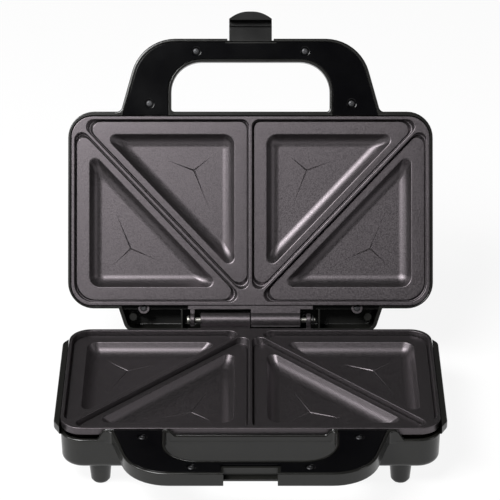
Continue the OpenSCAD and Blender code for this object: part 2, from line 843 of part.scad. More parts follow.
module side_lip() {
    y0 = -plate_d + lip_end;
    y1 = -lip_end;
    x1 = plate_w/2 + lip_w;
    loft([for (q = lip_rows)
        ring(rounded([
            [inner_x - q[2], y0 - lip_slant + q[0]], [x1 - q[0], y0 + q[0]],
            [x1 - q[0], y1 - q[0]], [inner_x - q[2], y1 + lip_slant - q[0]]
        ], [0, lip_r, lip_r, 0]), q[1])]);
}

wall_dip = 5.4;       // depth below the land of the front wall between the handle's arms
dip_x = finger_x - 2; // half width of that dip at its top
dip_slant = 4;        // length of the dip's slanted ends

module front_wall() {
    foot_end = front_wall_x + (corner_drop - rim_drop)*0.7;
    half = [
        [foot_end, corner_drop + 1], [front_wall_x, rim_drop],
        [dip_x, rim_drop], [dip_x - dip_slant, wall_dip]
    ];
    left = [for (i = [len(half) - 1:-1:0]) [-half[i][0], half[i][1]]];
    translate([0, -plate_d - plate_fit, 0])
        rotate([90, 0, 0])
            linear_extrude(rim_out_front - plate_fit - 0.1)
                polygon(rounded(concat(half, left), [0, 4, 3, 2, 2, 3, 4, 0]));
}

stop_x = 62;
stop_w = 5;
stop_h = 16;
peg_r = 3;
peg_l = 3.5;
foot_bed = 3;         // thickness of the floor's pads over the feet

module base_solid() {
    loft(dome(base_outline, base_corner_r, base_rows));
}

module base_inside() {
    both() {
        post(lug_x, lug_y, lug_top + lug_h, lug_top + lug_h + lug_hole + wall, lug_r);
        for (y = foot_ys) post(foot_x, y, base_floor - foot_bed, base_h - 0.1, foot_r);
        post(reflector_post_x, -plate_d/2, reflector_d + reflector_t, base_h - 1, reflector_post_r);
    }
}

foot_ys = [-foot_in, -(shell_front - foot_in)];

// Tapered feet, each with a peg in the base's floor
module feet() {
    color("#33332f") on_base() both() for (y = foot_ys) {
        translate([foot_x, y, base_h]) cylinder(h = foot_h - pad_t, r1 = foot_r, r2 = foot_tip_r);
        post(foot_x, y, base_h - peg_l, base_h + 1, peg_r);
    }
}

module base_housing() {
    color("#3b3b39") on_base() difference() {
        union() {
            difference() {
                base_solid();
                loft(dome(base_outline, base_corner_r, base_inner_rows));
            }
            base_inside();
            at_inlet(-wall - bush_boss_in) cylinder(h = wall + bush_boss_in, r = bush_flange_r + bush_land);
            both() {
                side_lip();
                translate([stop_x, shell_back - 1, deep]) cube([stop_w, 1 + stop_out, stop_h]);
            }
            front_wall();
            difference() {
                handle_body();
                handle_cuts();
            }
        }
        cover_bed_cut();
        plate_fixings();
        latch_recess();
        at_inlet(-bush_l) cylinder(h = 2*bush_l, r = inlet_d/2 + bush_wall + slide_fit);
        both() for (y = foot_ys) post(foot_x, y, base_h - peg_l - part_fit, big, peg_r + slide_fit);
    }
}

// The cord's way in, through the back of the base: z runs out of the base
bush_wall = 2;
bush_l = 12;          // longer than the bush
bush_in = 4;          // how far the bush reaches in past the wall
bush_boss_in = 2;     // and how far its boss does
bush_flange_r = inlet_d/2 + bush_wall + 1.8;
bush_flange_t = 1.6;
bush_land = 0.7;      // width of the boss's face round the flange
inlet_up = base_floor - 6.5;
module at_inlet(z) {
    translate([-inlet_x, shell_back + z, inlet_up]) rotate([-90, 0, 0]) children();
}

module base_handle_cover() {
    color("#1c1c1c") on_base() difference() {
        handle_cover_plate();
        base_cover_notch();
    }
}

module base_handle_screws() {
    color("silver") on_base() handle_screws();
}

module foot_pads() {
    color("#222222") on_base() both() for (y = foot_ys)
        translate([foot_x, y, base_h + foot_h - pad_t])
            cylinder(h = pad_t, r1 = foot_tip_r - 0.2, r2 = foot_tip_r - 1);
}

module cord_bush() {
    color("#202020") on_base() difference() {
        union() {
            at_inlet(slide_fit) cylinder(h = bush_flange_t, r = bush_flange_r);
            at_inlet(-wall - bush_in) cylinder(h = wall + bush_in + 2*slide_fit, r = inlet_d/2 + bush_wall);
        }
        at_inlet(-bush_l) cylinder(h = 2*bush_l, r = inlet_d/2);
    }
}

// ---- Screws and heaters ----

module plate_screws() {
    both() translate([lug_x, lug_y, lug_top + lug_seat - head_h - 0.05])
        screw(plate_head_r, head_h, plate_screw_r, plate_screw_l);
}

module lower_plate_screws() {
    color("silver") on_base() plate_screws();
}

module upper_plate_screws() {
    color("silver") on_lid() plate_screws();
}

heater_x = plate_w/2 - heater_in;
heater_front = plate_d - heater_in;
heater_r = 13;
heater_z = slab_h + heater_d/2 + 0.05;
heater_gap = 6;       // half distance between a heater's two ends
heater_bend = 8;
heater_end_z = reflector_d + 5;
pin_up = 3;

module quarter(c, a, r, d) {
    translate(c) rotate([0, 0, a]) rotate_extrude(angle = 90) translate([r, 0]) circle(d = d);
}

module bar(p, along, l, d) {
    translate(p) rotate(along) cylinder(h = l, d = d);
}

module heater() {
    r = heater_r;
    both() {
        bar([heater_gap + heater_bend, -heater_in, heater_z], [0, 90, 0],
            heater_x - r - heater_gap - heater_bend, heater_d);
        quarter([heater_x - r, -heater_in - r, heater_z], 0, r, heater_d);
        bar([heater_x, -heater_in - r, heater_z], [90, 0, 0], heater_front - heater_in - 2*r, heater_d);
        quarter([heater_x - r, -heater_front + r, heater_z], -90, r, heater_d);
        bar([0, -heater_front, heater_z], [0, 90, 0], heater_x - r, heater_d);
        translate([heater_gap + heater_bend, -heater_in, heater_z + heater_bend])
            rotate([90, 0, 0])
                rotate([0, 0, 180])
                    rotate_extrude(angle = 90)
                        translate([heater_bend, 0]) circle(d = heater_d);
        post(heater_gap, -heater_in, heater_z + heater_bend, heater_end_z, heater_d/2);
        post(heater_gap, -heater_in, heater_end_z - 0.1, heater_end_z + pin_up, 1);
    }
}

module lower_heater() {
    color("#8a8580") on_base() heater();
}

module upper_heater() {
    color("#8a8580") on_lid() heater();
}

// An outline round two points, with ends of radius r
function capsule(a, b, r) =
    let(t = atan2(b[1] - a[1], b[0] - a[0]))
    concat(arc(a, r, t + 90, 180, 8), arc(b, r, t - 90, 180, 8));

corner_bow = [heater_x - heater_r, -heater_front + heater_r];
clamp_ends = [
    [corner_boss, corner_bow + unit(corner_boss - corner_bow)*(heater_r + 1)],
    [rear_boss, [rear_boss[0] + 7, -heater_in]]
];

module heater_clamps() {
    both() for (c = clamp_ends)
        difference() {
            slab(capsule(c[0], c[1], 3.6), boss_top, boss_top + clamp_t);
            post(c[0][0], c[0][1], 0, big, clamp_screw_r + screw_fit);
        }
}

module lower_heater_clamps() {
    color("silver") on_base() heater_clamps();
}

module upper_heater_clamps() {
    color("silver") on_lid() heater_clamps();
}

// Their heads lie outside the clamps, so each screw is turned over
module clamp_screws() {
    both() for (c = clamp_ends)
        translate([c[0][0], c[0][1], boss_top + clamp_t + head_h + 0.05])
            mirror([0, 0, 1]) screw(clamp_head_r, head_h, clamp_screw_r, clamp_screw_l);
}

module lower_clamp_screws() {
    color("silver") on_base() clamp_screws();
}

module upper_clamp_screws() {
    color("silver") on_lid() clamp_screws();
}

reflector_in = 8.5;
reflector_back_in = 7;
reflector_lip = 1.2;
reflector_r = 12;
lead_gap_x = 24;      // half width of the opening for the heater's ends
lead_gap_in = 22;

module reflector() {
    p = box_corners(plate_w/2 - reflector_in, plate_d - reflector_in, -reflector_back_in);
    difference() {
        slab(rounded(p, reflector_r), reflector_d, reflector_d + reflector_t + reflector_lip);
        slab(rounded(inset(p, reflector_t), reflector_r - reflector_t), reflector_d + reflector_t, big);
        translate([-lead_gap_x, -lead_gap_in, 0]) cube([2*lead_gap_x, big, big]);
    }
}

module lower_reflector() {
    color("lightgray") on_base() reflector();
}

module upper_reflector() {
    color("lightgray") on_lid() reflector();
}

// ---- Electrical pieces ----

thermostat_y = -72;
fuse_y = -46;

module thermostat() {
    can_h = 5;
    cap_h = 2;
    tab = [0.8, 4, 2];
    color("#c9b48a") on_base() translate([0, thermostat_y, slab_h + 0.1]) {
        cylinder(h = can_h, d = thermostat_d);
        cylinder(h = can_h + cap_h, d = thermostat_d - 4);
        for (x = [-4, 4]) translate([x - tab[0]/2, -tab[1]/2, can_h + 1]) cube(tab + [0, 0, cap_h - 1]);
    }
}

module thermal_fuse() {
    fuse_d = 4.2;
    fuse_l = 11;
    lead_l = 18;
    lead_d = 1.2;
    color("#b8a070") on_base() translate([0, fuse_y, slab_h + fuse_d/2 + 0.1]) rotate([90, 0, 0]) {
        cylinder(h = fuse_l, d = fuse_d, center = true);
        cylinder(h = lead_l, d = lead_d, center = true);
    }
}

block_l = 34;
block_w = 13;
block_h = 6.5;
block_y = -44;

module terminal_block() {
    top = base_floor - block_h;
    color("#d8d4c8") on_base() difference() {
        translate([-block_l/2, block_y - block_w/2, top]) cube([block_l, block_w, block_h]);
        for (x = [-block_l/3, 0, block_l/3]) {
            post(x, block_y - block_w/4, top - 1, top + 3, 1.5);
            post(x, block_y + block_w/4, top - 1, top + 3, 1.5);
        }
    }
}

wire_d = 2;

// A lead from a heater's pin, past the edge of the reflector, to the given point
module heater_lead(x, end, z) {
    pin = [x, -heater_in, heater_end_z + 1.5];
    difference() {
        union() {
            translate(pin - [0, 0, 0.8]) cylinder(h = 1.6, r = 2.2);
            rod([pin - [0, 1.7, 0], [x, -19, z], end], wire_d);
        }
        translate(pin - [0, 0, 2]) cylinder(h = 4, r = 1.05);
    }
}

module base_wiring() {
    z = base_floor - block_h/2;
    color("#ece8df") on_base() both()
        heater_lead(heater_gap, [block_l/4, block_y + block_w/2 + 0.1, z], z - 1);
}

// ---- Lamps ----

lens_flange = 1.4;
lens_under = lid_h - wall;
lamp_l = 8;

module lens(x) {
    on_lid() translate([x, -lens_in, 0]) {
        translate([0, 0, lens_under - lens_flange]) cylinder(h = lens_flange - 0.05, r = lens_d/2 + 1);
        translate([0, 0, lens_under - 0.1]) cylinder(h = wall + 0.5, r = lens_d/2);
        translate([0, 0, lens_under + wall + 0.4]) cylinder(h = 0.7, r1 = lens_d/2, r2 = lens_d/2 - 1.2);
    }
}

module power_lamp_lens() {
    color("red") lens(-lens_x);
}

module ready_lamp_lens() {
    color("green") lens(lens_x);
}

module lamp_holders() {
    top = lens_under - lens_flange - 0.1;
    color("#e6e2d6") on_lid() both() difference() {
        post(lens_x, -lens_in, top - lamp_l, top, 3.2);
        post(lens_x, -lens_in, top - lamp_l + 2, top + 1, 2.3);
    }
}

module lid_wiring() {
    z = lens_under - lens_flange - lamp_l/2;
    color("#ece8df") on_lid() both()
        heater_lead(heater_gap, [lens_x - 1, -lens_in + 3.4, z], z - 2);
}

base_housing();
base_handle_cover();
base_handle_screws();
feet();
foot_pads();
lower_plate();
lower_plate_screws();
lower_heater();
lower_heater_clamps();
lower_clamp_screws();
lower_reflector();
thermostat();
thermal_fuse();
terminal_block();
base_wiring();
cord_bush();
hinge_pin();
hinge_pin_clip();
lid_housing();
lid_handle_cover();
lid_handle_screws();
upper_plate();
upper_plate_screws();
upper_heater();
upper_heater_clamps();
upper_clamp_screws();
upper_reflector();
latch();
latch_pin();
power_lamp_lens();
ready_lamp_lens();
lamp_holders();
lid_wiring();
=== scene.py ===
# %% [markdown]
# # A sandwich toaster, dressed around its measured model
# The construction model comes in first as a fixed frame: every piece lies where it was measured
# and moves with its body. This lesson gives each visible piece its final shape and finish. No
# loaded node is moved: a piece replaces it, or it gets a better material.

# %% Load the frame
import json
from math import acos, atan2, cos, pi, radians, sin, tan

import bmesh
import bpy
from mathutils import Matrix, Vector


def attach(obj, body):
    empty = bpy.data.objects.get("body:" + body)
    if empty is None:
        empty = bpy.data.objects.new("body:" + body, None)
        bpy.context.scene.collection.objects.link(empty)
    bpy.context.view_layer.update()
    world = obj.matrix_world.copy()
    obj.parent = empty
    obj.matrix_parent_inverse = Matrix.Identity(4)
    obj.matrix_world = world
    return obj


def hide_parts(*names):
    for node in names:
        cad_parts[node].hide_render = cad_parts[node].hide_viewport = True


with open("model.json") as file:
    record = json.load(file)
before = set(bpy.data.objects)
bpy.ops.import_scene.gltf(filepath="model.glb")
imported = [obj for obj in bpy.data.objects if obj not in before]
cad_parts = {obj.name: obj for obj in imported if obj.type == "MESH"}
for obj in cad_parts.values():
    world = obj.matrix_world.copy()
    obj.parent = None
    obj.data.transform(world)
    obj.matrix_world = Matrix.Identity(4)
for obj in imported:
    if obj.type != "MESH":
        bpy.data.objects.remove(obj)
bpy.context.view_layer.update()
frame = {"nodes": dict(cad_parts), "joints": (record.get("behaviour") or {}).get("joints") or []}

# %% [markdown]
# ## Where the camera stands
# A long lens a good way off shows the open toaster almost without perspective. The camera looks
# down nearly square to the open lid's plate, so that plate shows its true outline.

# %% Camera
MM = 0.001
LOOK_DOWN = radians(27.75)
CAMERA_AT = Vector((-0.36, -1753.8, 1052.4)) * MM
LENS = 202.72

bpy.ops.object.camera_add(location=CAMERA_AT, rotation=(radians(90) - LOOK_DOWN, 0, 0))
camera = bpy.context.object
camera.name = "view_camera"
camera.data.lens = LENS
camera.data.sensor_width = 36
camera.data.clip_end = 80
bpy.context.scene.camera = camera
bpy.context.scene.view_settings.view_transform = "Standard"
print("camera at", [round(c, 4) for c in camera.location])

# %% [markdown]
# ## Helpers for materials
# A shader works with linear light, while a colour is usually written as sRGB hex, so one function
# turns the one into the other. The others add a node or a sum in one line, so that each material
# reads as a recipe.

# %% Colour and node helpers
def linear(hex_colour):
    """An sRGB hex colour as the linear values that shaders use."""
    parts = [int(hex_colour[i:i + 2], 16) / 255 for i in (1, 3, 5)]
    return (*[c / 12.92 if c <= 0.04045 else ((c + 0.055) / 1.055) ** 2.4 for c in parts], 1)


def add_node(tree, kind, inputs=None, **settings):
    """Adds one node with its settings, and sets or links its inputs."""
    node = tree.nodes.new(kind)
    for key, value in settings.items():
        setattr(node, key, value)
    for key, value in (inputs or {}).items():
        if isinstance(value, bpy.types.NodeSocket):
            tree.links.new(value, node.inputs[key])
        else:
            node.inputs[key].default_value = value
    return node


def compute(tree, operation, a, b):
    """One step of arithmetic in a node tree."""
    return add_node(tree, "ShaderNodeMath", {0: a, 1: b}, operation=operation).outputs[0]


print("black plastic in linear light:", [round(c, 4) for c in linear("#141413")])

# %% [markdown]
# ## Light
# Three soft panels light the toaster: a large one above the front left, a smaller one on the left
# that draws the edges, and a weak one that fills from the right. Black plastic shows its form only
# by what it reflects, so the panels are soft and the room around them is dim.

# %% Lamps and world
WORLD_LEVEL = 0.06
MIDDLE = (0, 0, 90)      # the point that every lamp faces


def panel(name, at, size, watts):
    """A soft rectangular lamp, with its place and size in millimetres."""
    bpy.ops.object.light_add(type="AREA", location=Vector(at) * MM)
    lamp = bpy.context.object
    lamp.name = name
    lamp.data.shape = "RECTANGLE"
    lamp.data.size, lamp.data.size_y = size[0] * MM, size[1] * MM
    lamp.data.energy = watts
    aim = Vector(MIDDLE) - Vector(at)
    lamp.rotation_euler = aim.to_track_quat("-Z", "Y").to_euler()
    return lamp


world = bpy.data.worlds.new("dim_studio")
bpy.context.scene.world = world
world.use_nodes = True
tree = world.node_tree
tree.nodes.clear()
dim = add_node(tree, "ShaderNodeBackground",
               {"Color": linear("#ffffff"), "Strength": WORLD_LEVEL})
add_node(tree, "ShaderNodeOutputWorld", {"Surface": dim.outputs[0]})

lamps = [panel("front_panel", (-640, -780, 1330), (900, 500), 43),
         panel("left_panel", (-1250, -300, 900), (400, 600), 9),
         panel("right_panel", (1400, -400, 800), (500, 900), 3)]
print("lamps:", [(lamp.name, lamp.data.energy) for lamp in lamps])

# %% [markdown]
# ## The floor
# A white floor that runs out of sight stands in for a studio sweep. The camera and mirroring
# surfaces see mostly plain white, with enough real paint mixed in for a soft shadow. The light
# that the floor throws back on the toaster comes from the paint alone.

# %% Floor
FLOOR_WHITE = 0.9        # share of plain white in the floor that the camera sees
FLOOR_SIZE = 60          # metres

bpy.ops.mesh.primitive_plane_add(size=FLOOR_SIZE, location=(0, 0, 0))
floor = bpy.context.object
floor.name = "studio_floor"
floor_paint = bpy.data.materials.new("matt_white_sweep")
floor_paint.use_nodes = True
tree = floor_paint.node_tree
tree.nodes.clear()
paint = add_node(tree, "ShaderNodeBsdfPrincipled",
                 {"Base Color": linear("#f8f8f8"), "Roughness": 0.9})
white = add_node(tree, "ShaderNodeEmission", {"Color": linear("#ffffff"), "Strength": 1.0})
rays = add_node(tree, "ShaderNodeLightPath").outputs
seen = rays["Is Camera Ray"]
for kind in ("Is Glossy Ray", "Is Transmission Ray"):
    seen = compute(tree, "MAXIMUM", seen, rays[kind])
share = compute(tree, "MULTIPLY", seen, FLOOR_WHITE)
mixed = add_node(tree, "ShaderNodeMixShader",
                 {0: share, 1: paint.outputs[0], 2: white.outputs[0]})
add_node(tree, "ShaderNodeOutputMaterial", {"Surface": mixed.outputs[0]})
floor.data.materials.append(floor_paint)
print("floor:", floor.name, "with", len(tree.nodes), "paint nodes")

# %% [markdown]
# ## How a finish is built
# Most finishes here share one recipe: a base shader, a fine grain that moves the surface a little,
# and a slow unevenness that shifts colour and gloss by a few percent. Perfectly even surfaces are
# what makes a render look like a toy.

# %% Grain
SLOW_MM = 25             # size of the slow unevenness


def grain(tree, size_mm):
    """Noise whose spots are about size_mm across, on the piece's own coordinates."""
    where = add_node(tree, "ShaderNodeTexCoord").outputs["Object"]
    return add_node(tree, "ShaderNodeTexNoise",
                    {"Vector": where, "Scale": 1 / (size_mm * MM), "Detail": 2.0,
                     "Roughness": 0.5}).outputs["Fac"]


def spread(tree, value, low, high):
    """Stretches a noise value, which is mostly 0.3 to 0.7, over low to high."""
    return add_node(tree, "ShaderNodeMapRange",
                    {"Value": value, "From Min": 0.3, "From Max": 0.7, "To Min": low,
                     "To Max": high}).outputs["Result"]


print("0.5 mm grain has a noise scale of", round(1 / (0.5 * MM)))

# %% The recipe that the finishes share
def finish(name, dark, light, gloss, grain_mm, grain_depth, metal=0.0, specular=0.5, ior=1.5,
           tint=None, speckle=1):
    """A surface whose colour runs from dark to light and roughness over gloss, with a grain.

    Where speckle is over 1, both follow the fine grain alone, with that much more contrast.
    """
    material = bpy.data.materials.new(name)
    material.use_nodes = True
    tree = material.node_tree
    skin = tree.nodes["Principled BSDF"]
    fine = grain(tree, grain_mm)
    slow = fine if speckle > 1 else grain(tree, SLOW_MM)
    both = compute(tree, "MULTIPLY", compute(tree, "ADD", fine, slow), 0.5)
    shade = spread(tree, both, 0.5 - speckle / 2, 0.5 + speckle / 2)
    colour = add_node(tree, "ShaderNodeMix", {0: shade, 6: linear(dark), 7: linear(light)},
                      data_type="RGBA")
    tree.links.new(colour.outputs[2], skin.inputs["Base Color"])
    tree.links.new(spread(tree, slow, *gloss), skin.inputs["Roughness"])
    bump = add_node(tree, "ShaderNodeBump",
                    {"Height": fine, "Strength": 1.0, "Distance": grain_depth * MM})
    tree.links.new(bump.outputs["Normal"], skin.inputs["Normal"])
    skin.inputs["Metallic"].default_value = metal
    if not metal:
        skin.inputs["Specular IOR Level"].default_value = specular
        skin.inputs["IOR"].default_value = ior
    if tint:
        skin.inputs["Specular Tint"].default_value = linear(tint)
    return material


print("slow unevenness:", SLOW_MM, "mm")

# %% [markdown]
# ## Finishes of the moulded pieces
# The housings are injection-moulded ABS, dyed black in the mass. Their mould was spark-eroded,
# which leaves a fine satin grain: the eye gets a soft, slightly olive grey wherever they face
# the light. The handles' covers come from a finer mould.

# %% Plastics and rubber
housing_abs = finish("spark_eroded_black_abs", "#121211", "#171715", (0.22, 0.25), 0.5, 0.006,
                     specular=0.42)
# The covers are smoother, so they mirror the dark room and look deeper black.
cover_abs = finish("fine_satin_black_abs", "#020203", "#040405", (0.14, 0.18), 0.35, 0.002,
                   specular=0.2)
latch_abs = finish("satin_black_latch_abs", "#080808", "#0d0d0c", (0.20, 0.25), 0.5, 0.008)
# Moulded rubber is matt and shows no highlight.
pad_rubber = finish("moulded_nitrile_rubber", "#151514", "#1c1c1b", (0.7, 0.8), 0.9, 0.02,
                    specular=0.3)
print("plastics:", housing_abs.name, cover_abs.name, latch_abs.name)

# %% [markdown]
# ## Finish of the cooking plates
# The plates are die-cast aluminium, sprayed with a black non-stick coating and baked. The spray
# leaves fine droplets that differ a little in gloss, so the coating glitters slightly. Its wide
# highlights turn a black plate grey where it faces a lamp, with a faint warm pink cast.

# %% Non-stick coating
DROPLET = 0.9            # real droplets are about half as wide, too fine to show in a render
plate_coat = finish("sprayed_nonstick_coating", "#040404", "#201f1f", (0.34, 0.48), DROPLET,
                    0.05, specular=1.0, tint="#fff2fa", speckle=2.0)
print("coating:", plate_coat.name)

# %% [markdown]
# ## Finishes of the small parts
# The hinge pin is zinc-plated steel, the screws are blackened, and the reflectors are bright
# rolled aluminium. The heaters' sheaths have gone brown and matt from their first firing. Leads
# run in woven glass sleeves, and the terminal block is glazed ceramic.

# %% Metals, ceramic, sleeve and lenses
# Zinc plating is a soft, even grey, and black oxide keeps only a dull glint.
zinc_steel = finish("zinc_plated_steel", "#85847f", "#9c9b96", (0.40, 0.50), 0.7, 0.004,
                    metal=1.0)
dark_steel = finish("black_oxide_steel", "#3a3a3b", "#4e4e50", (0.46, 0.56), 0.5, 0.005,
                    metal=1.0)
sheet_aluminium = finish("rolled_aluminium_sheet", "#b9bab9", "#cdcecd", (0.30, 0.42), 1.2,
                         0.004, metal=1.0)
# Firing gives the sheaths a patchy brown, and passivation gives thin steel a yellow shimmer.
fired_sheath = finish("fired_heater_sheath", "#5a4f47", "#7b6f65", (0.5, 0.65), 1.5, 0.02,
                      metal=1.0)
passivated_steel = finish("yellow_passivated_steel", "#8c7a52", "#b6a274", (0.3, 0.4), 2.0,
                          0.004, metal=1.0)
# Glaze is glassy over a cream body, and the woven sleeve is matt and slightly rough.
glazed_ceramic = finish("glazed_steatite", "#cfc8b8", "#dcd6c8", (0.2, 0.3), 3.0, 0.01)
glass_sleeve = finish("woven_glass_sleeve", "#b8b09c", "#e0dac8", (0.75, 0.9), 0.9, 0.15)
# Clear coloured plastic bends light more than ABS: its highlights are bright and small.
red_lens, green_lens = (
    finish(f"clear_{hue}_polycarbonate", dark, light, (0.12, 0.18), 4.0, 0.002, ior=1.58)
    for hue, dark, light in (("red", "#8e1410", "#a01a14"), ("green", "#12622a", "#187434")))
print("materials:", len(bpy.data.materials))

# %% [markdown]
# ## Outlines with rounded corners
# Nearly every piece of this toaster starts as an outline: corner points that are moved by a margin
# and rounded. Where it runs counterclockwise, a positive margin moves it in, like a seam line.

# %% Outlines
ROUND_STEPS = 10


def points(*pairs):
    return [Vector(p) for p in pairs]


def whole(*half):
    """An outline of which one half is given and the other mirrored."""
    return points(*half, *[(-x, y) for x, y in reversed(half)])


def frame_corners(x, front, back):
    return points((-x, -front), (x, -front), (x, back), (-x, back))


def inset(corners, d):
    """Corners of an outline moved in by d, or out where d is negative."""
    moved = []
    for i, p in enumerate(corners):
        into = (p - corners[i - 1]).normalized()
        out = (corners[(i + 1) % len(corners)] - p).normalized()
        a, b = Vector((-into.y, into.x)), Vector((-out.y, out.x))
        moved.append(p + (a + b) * (d / (1 + a.dot(b))))
    return moved


def rounded(corners, radii):
    """The outline's points, with each corner rounded to its radius."""
    line = []
    for i, (p, r) in enumerate(zip(corners, radii)):
        if r == 0:
            line.append(p)
            continue
        u = (corners[i - 1] - p).normalized()
        v = (corners[(i + 1) % len(corners)] - p).normalized()
        half = acos(max(-1, min(1, u.dot(v)))) / 2
        centre = p + (u + v).normalized() * (r / sin(half))
        start, end = (p + w * (r / tan(half)) - centre for w in (u, v))
        angle = atan2(start.y, start.x)
        turn = (atan2(end.y, end.x) - angle + pi) % (2 * pi) - pi
        for j in range(ROUND_STEPS + 1):
            a = angle + turn * j / ROUND_STEPS
            line.append(centre + Vector((cos(a), sin(a))) * r)
    return line


print("points on a rounded square:", len(rounded(frame_corners(10, 10, 10), [3] * 4)))

# %% Rings from an outline
OVER = 1                 # how far a cutter stands out of the face it cuts


def margin(corners, radii, d, least=0.3):
    """The rounded outline moved in by d: outer corners get tighter and inner ones wider."""
    new = []
    for i, r in enumerate(radii):
        bend = (corners[i] - corners[i - 1]).cross(corners[(i + 1) % len(corners)] - corners[i])
        new.append(0 if r == 0 else max(r - d if bend > 0 else r + d, least))
    return rounded(inset(corners, d), new)


def at_height(line, z):
    return [(p.x, p.y, z) for p in line]


def rings(corners, radii, rows):
    """One ring for each row, which says how far in and how high it lies."""
    return [at_height(margin(corners, radii, d), z) for d, z in rows]


def curve(start, end, leaves_flat, steps=4):
    """Rows of a quarter ellipse, which leaves its start flat, or upright."""
    rows = []
    for i in range(steps + 1):
        s, c = sin(pi / 2 * i / steps), 1 - cos(pi / 2 * i / steps)
        a, b = (s, c) if leaves_flat else (c, s)
        rows.append((start[0] + (end[0] - start[0]) * a, start[1] + (end[1] - start[1]) * b))
    return rows


def mouth(wide, narrow, top, deep, steps=3):
    """A cutter's first rows, which stand out of the face and round its brink."""
    return ([(wide, top - OVER), (wide, top - 0.01)]
            + curve((wide, top + 0.004), (narrow, top + deep), True, steps))


def on_side(lines, side):
    """Rings drawn for the right side, mirrored where side is -1."""
    return [[(x * side, y, z) for x, y, z in line] for line in lines]


print("rows of a rounded edge:", len(curve((0, 0), (1, 1), True)))

# %% [markdown]
# ## Pulling a solid through its rings
# `pull` does what you would do by hand with a circle: it lays the circle's points on the outline,
# extrudes the face, shapes the new ring, and goes on. A turned part is the same with round rings.

# %% Pulling
def pull(name, all_rings):
    """A closed solid: a face laid on the first ring and extruded from ring to ring."""
    bpy.ops.mesh.primitive_circle_add(vertices=len(all_rings[0]), radius=MM, fill_type="NGON")
    piece = bpy.context.object
    piece.name = piece.data.name = name
    bpy.ops.object.mode_set(mode="EDIT")
    mesh = bmesh.from_edit_mesh(piece.data)
    place = mesh.verts.layers.int.new("place")
    for i, v in enumerate(mesh.verts):
        v[place] = i
    for number, ring in enumerate(all_rings):
        if number:
            bpy.ops.mesh.extrude_region_move()
        mesh = bmesh.from_edit_mesh(piece.data)
        place = mesh.verts.layers.int["place"]
        for v in mesh.verts:
            if v.select:
                v.co = Vector(ring[v[place]]) * MM
    mesh.verts.layers.int.remove(place)
    bmesh.update_edit_mesh(piece.data)
    bpy.ops.mesh.select_all(action="SELECT")
    bpy.ops.mesh.normals_make_consistent(inside=False)
    bpy.ops.object.mode_set(mode="OBJECT")
    return piece


trial = pull("trial", rings(frame_corners(5, 5, 5), [1] * 4, [(0, 0), (0, 10)]))
print("a block pulled through two rings has", len(trial.data.polygons), "faces")

# %% Turned and square solids
def turned(name, base, axis, rows, sides=40):
    """A turned solid: rows hold the radius and how far along the axis it lies."""
    order = {"x": (2, 0, 1), "y": (0, 2, 1), "z": (0, 1, 2)}[axis]
    angles = [2 * pi * i / sides for i in range(sides)]
    lines = [[(r * cos(t), r * sin(t), h) for t in angles] for r, h in rows]
    return pull(name, [[[b + p[i] for b, i in zip(base, order)] for p in line]
                       for line in lines])


def post(name, at, rows, side, sides=40):
    """An upright turned solid on the right side, mirrored where side is -1."""
    return turned(name, (at[0] * side, at[1], 0), "z", rows, sides)


def block(name, low, high, edge=0.0, side=1):
    """A box with rounded edges, mirrored like a post."""
    x0, x1 = sorted((low[0] * side, high[0] * side))
    low, high = Vector((x0, *low[1:])) * MM, Vector((x1, *high[1:])) * MM
    bpy.ops.mesh.primitive_cube_add(size=1, location=(low + high) / 2, scale=high - low)
    bpy.ops.object.transform_apply(location=True, rotation=True, scale=True)
    piece = bpy.context.object
    piece.name = name
    if edge:
        bpy.ops.object.mode_set(mode="EDIT")
        bpy.ops.mesh.select_all(action="SELECT")
        bpy.ops.mesh.bevel(offset=edge * MM, segments=3, affect="EDGES")
        bpy.ops.object.mode_set(mode="OBJECT")
    return piece


hole = post("trial_hole", (0, 0), [(3, -OVER), (3, 10 + OVER)], 1)
print("a round cutter has", len(hole.data.polygons))

# %% [markdown]
# ## Adding and cutting
# A moulded shape is easiest to build from a few solids that are fused and cut. Each change is a
# modifier that is applied at once.

# %% Changes to a piece
def change(piece, kind, **settings):
    """Applies one modifier with these settings."""
    bpy.context.view_layer.objects.active = piece
    modifier = piece.modifiers.new("change", kind)
    for key, value in settings.items():
        setattr(modifier, key, value)
    bpy.ops.object.modifier_apply(modifier=modifier.name)
    return piece


def combine(piece, operation, others):
    """Adds, cuts or intersects other solids, which are used up."""
    for other in others:
        change(piece, "BOOLEAN", operation=operation, solver="MANIFOLD", object=other)
        bpy.data.objects.remove(other)
    return piece


def fuse(piece, *others):
    return combine(piece, "UNION", others)


def carve(piece, *others):
    return combine(piece, "DIFFERENCE", others)


def pick(*pieces):
    """Selects these pieces alone and makes the first one active."""
    bpy.ops.object.select_all(action="DESELECT")
    for piece in pieces:
        piece.select_set(True)
    bpy.context.view_layer.objects.active = pieces[0]


def join(name, solids):
    """Gathers solids that don't touch into one piece."""
    pick(*solids)
    bpy.ops.object.join()
    solids[0].name = solids[0].data.name = name
    return solids[0]


print("with its hole the block has", len(carve(trial, hole).data.polygons))
bpy.data.objects.remove(trial)

# %% [markdown]
# ## From a pan to its place
# Each half of the toaster is drawn as a pan that opens downwards, with the plate's flat rim, its
# land, at height 0 and the plate's back edge at y = 0. The lid is that pan hinged open. The base
# is the same pan turned over about the y axis, so one casting serves for both plates.

# %% Where the two halves go
hinge = next(j for j in frame["joints"] if j["name"] == "lid_hinge")
HINGE_AT = Vector(hinge["pos_m"])
OPENED = radians(hinge["range_deg"][1])
HINGE_BACK = 10.6        # distance of the pin behind the plates
HINGE_UP = 1.5           # height of the pin above the lower land
PLATE_GAP = 0.5          # gap between the closed lands

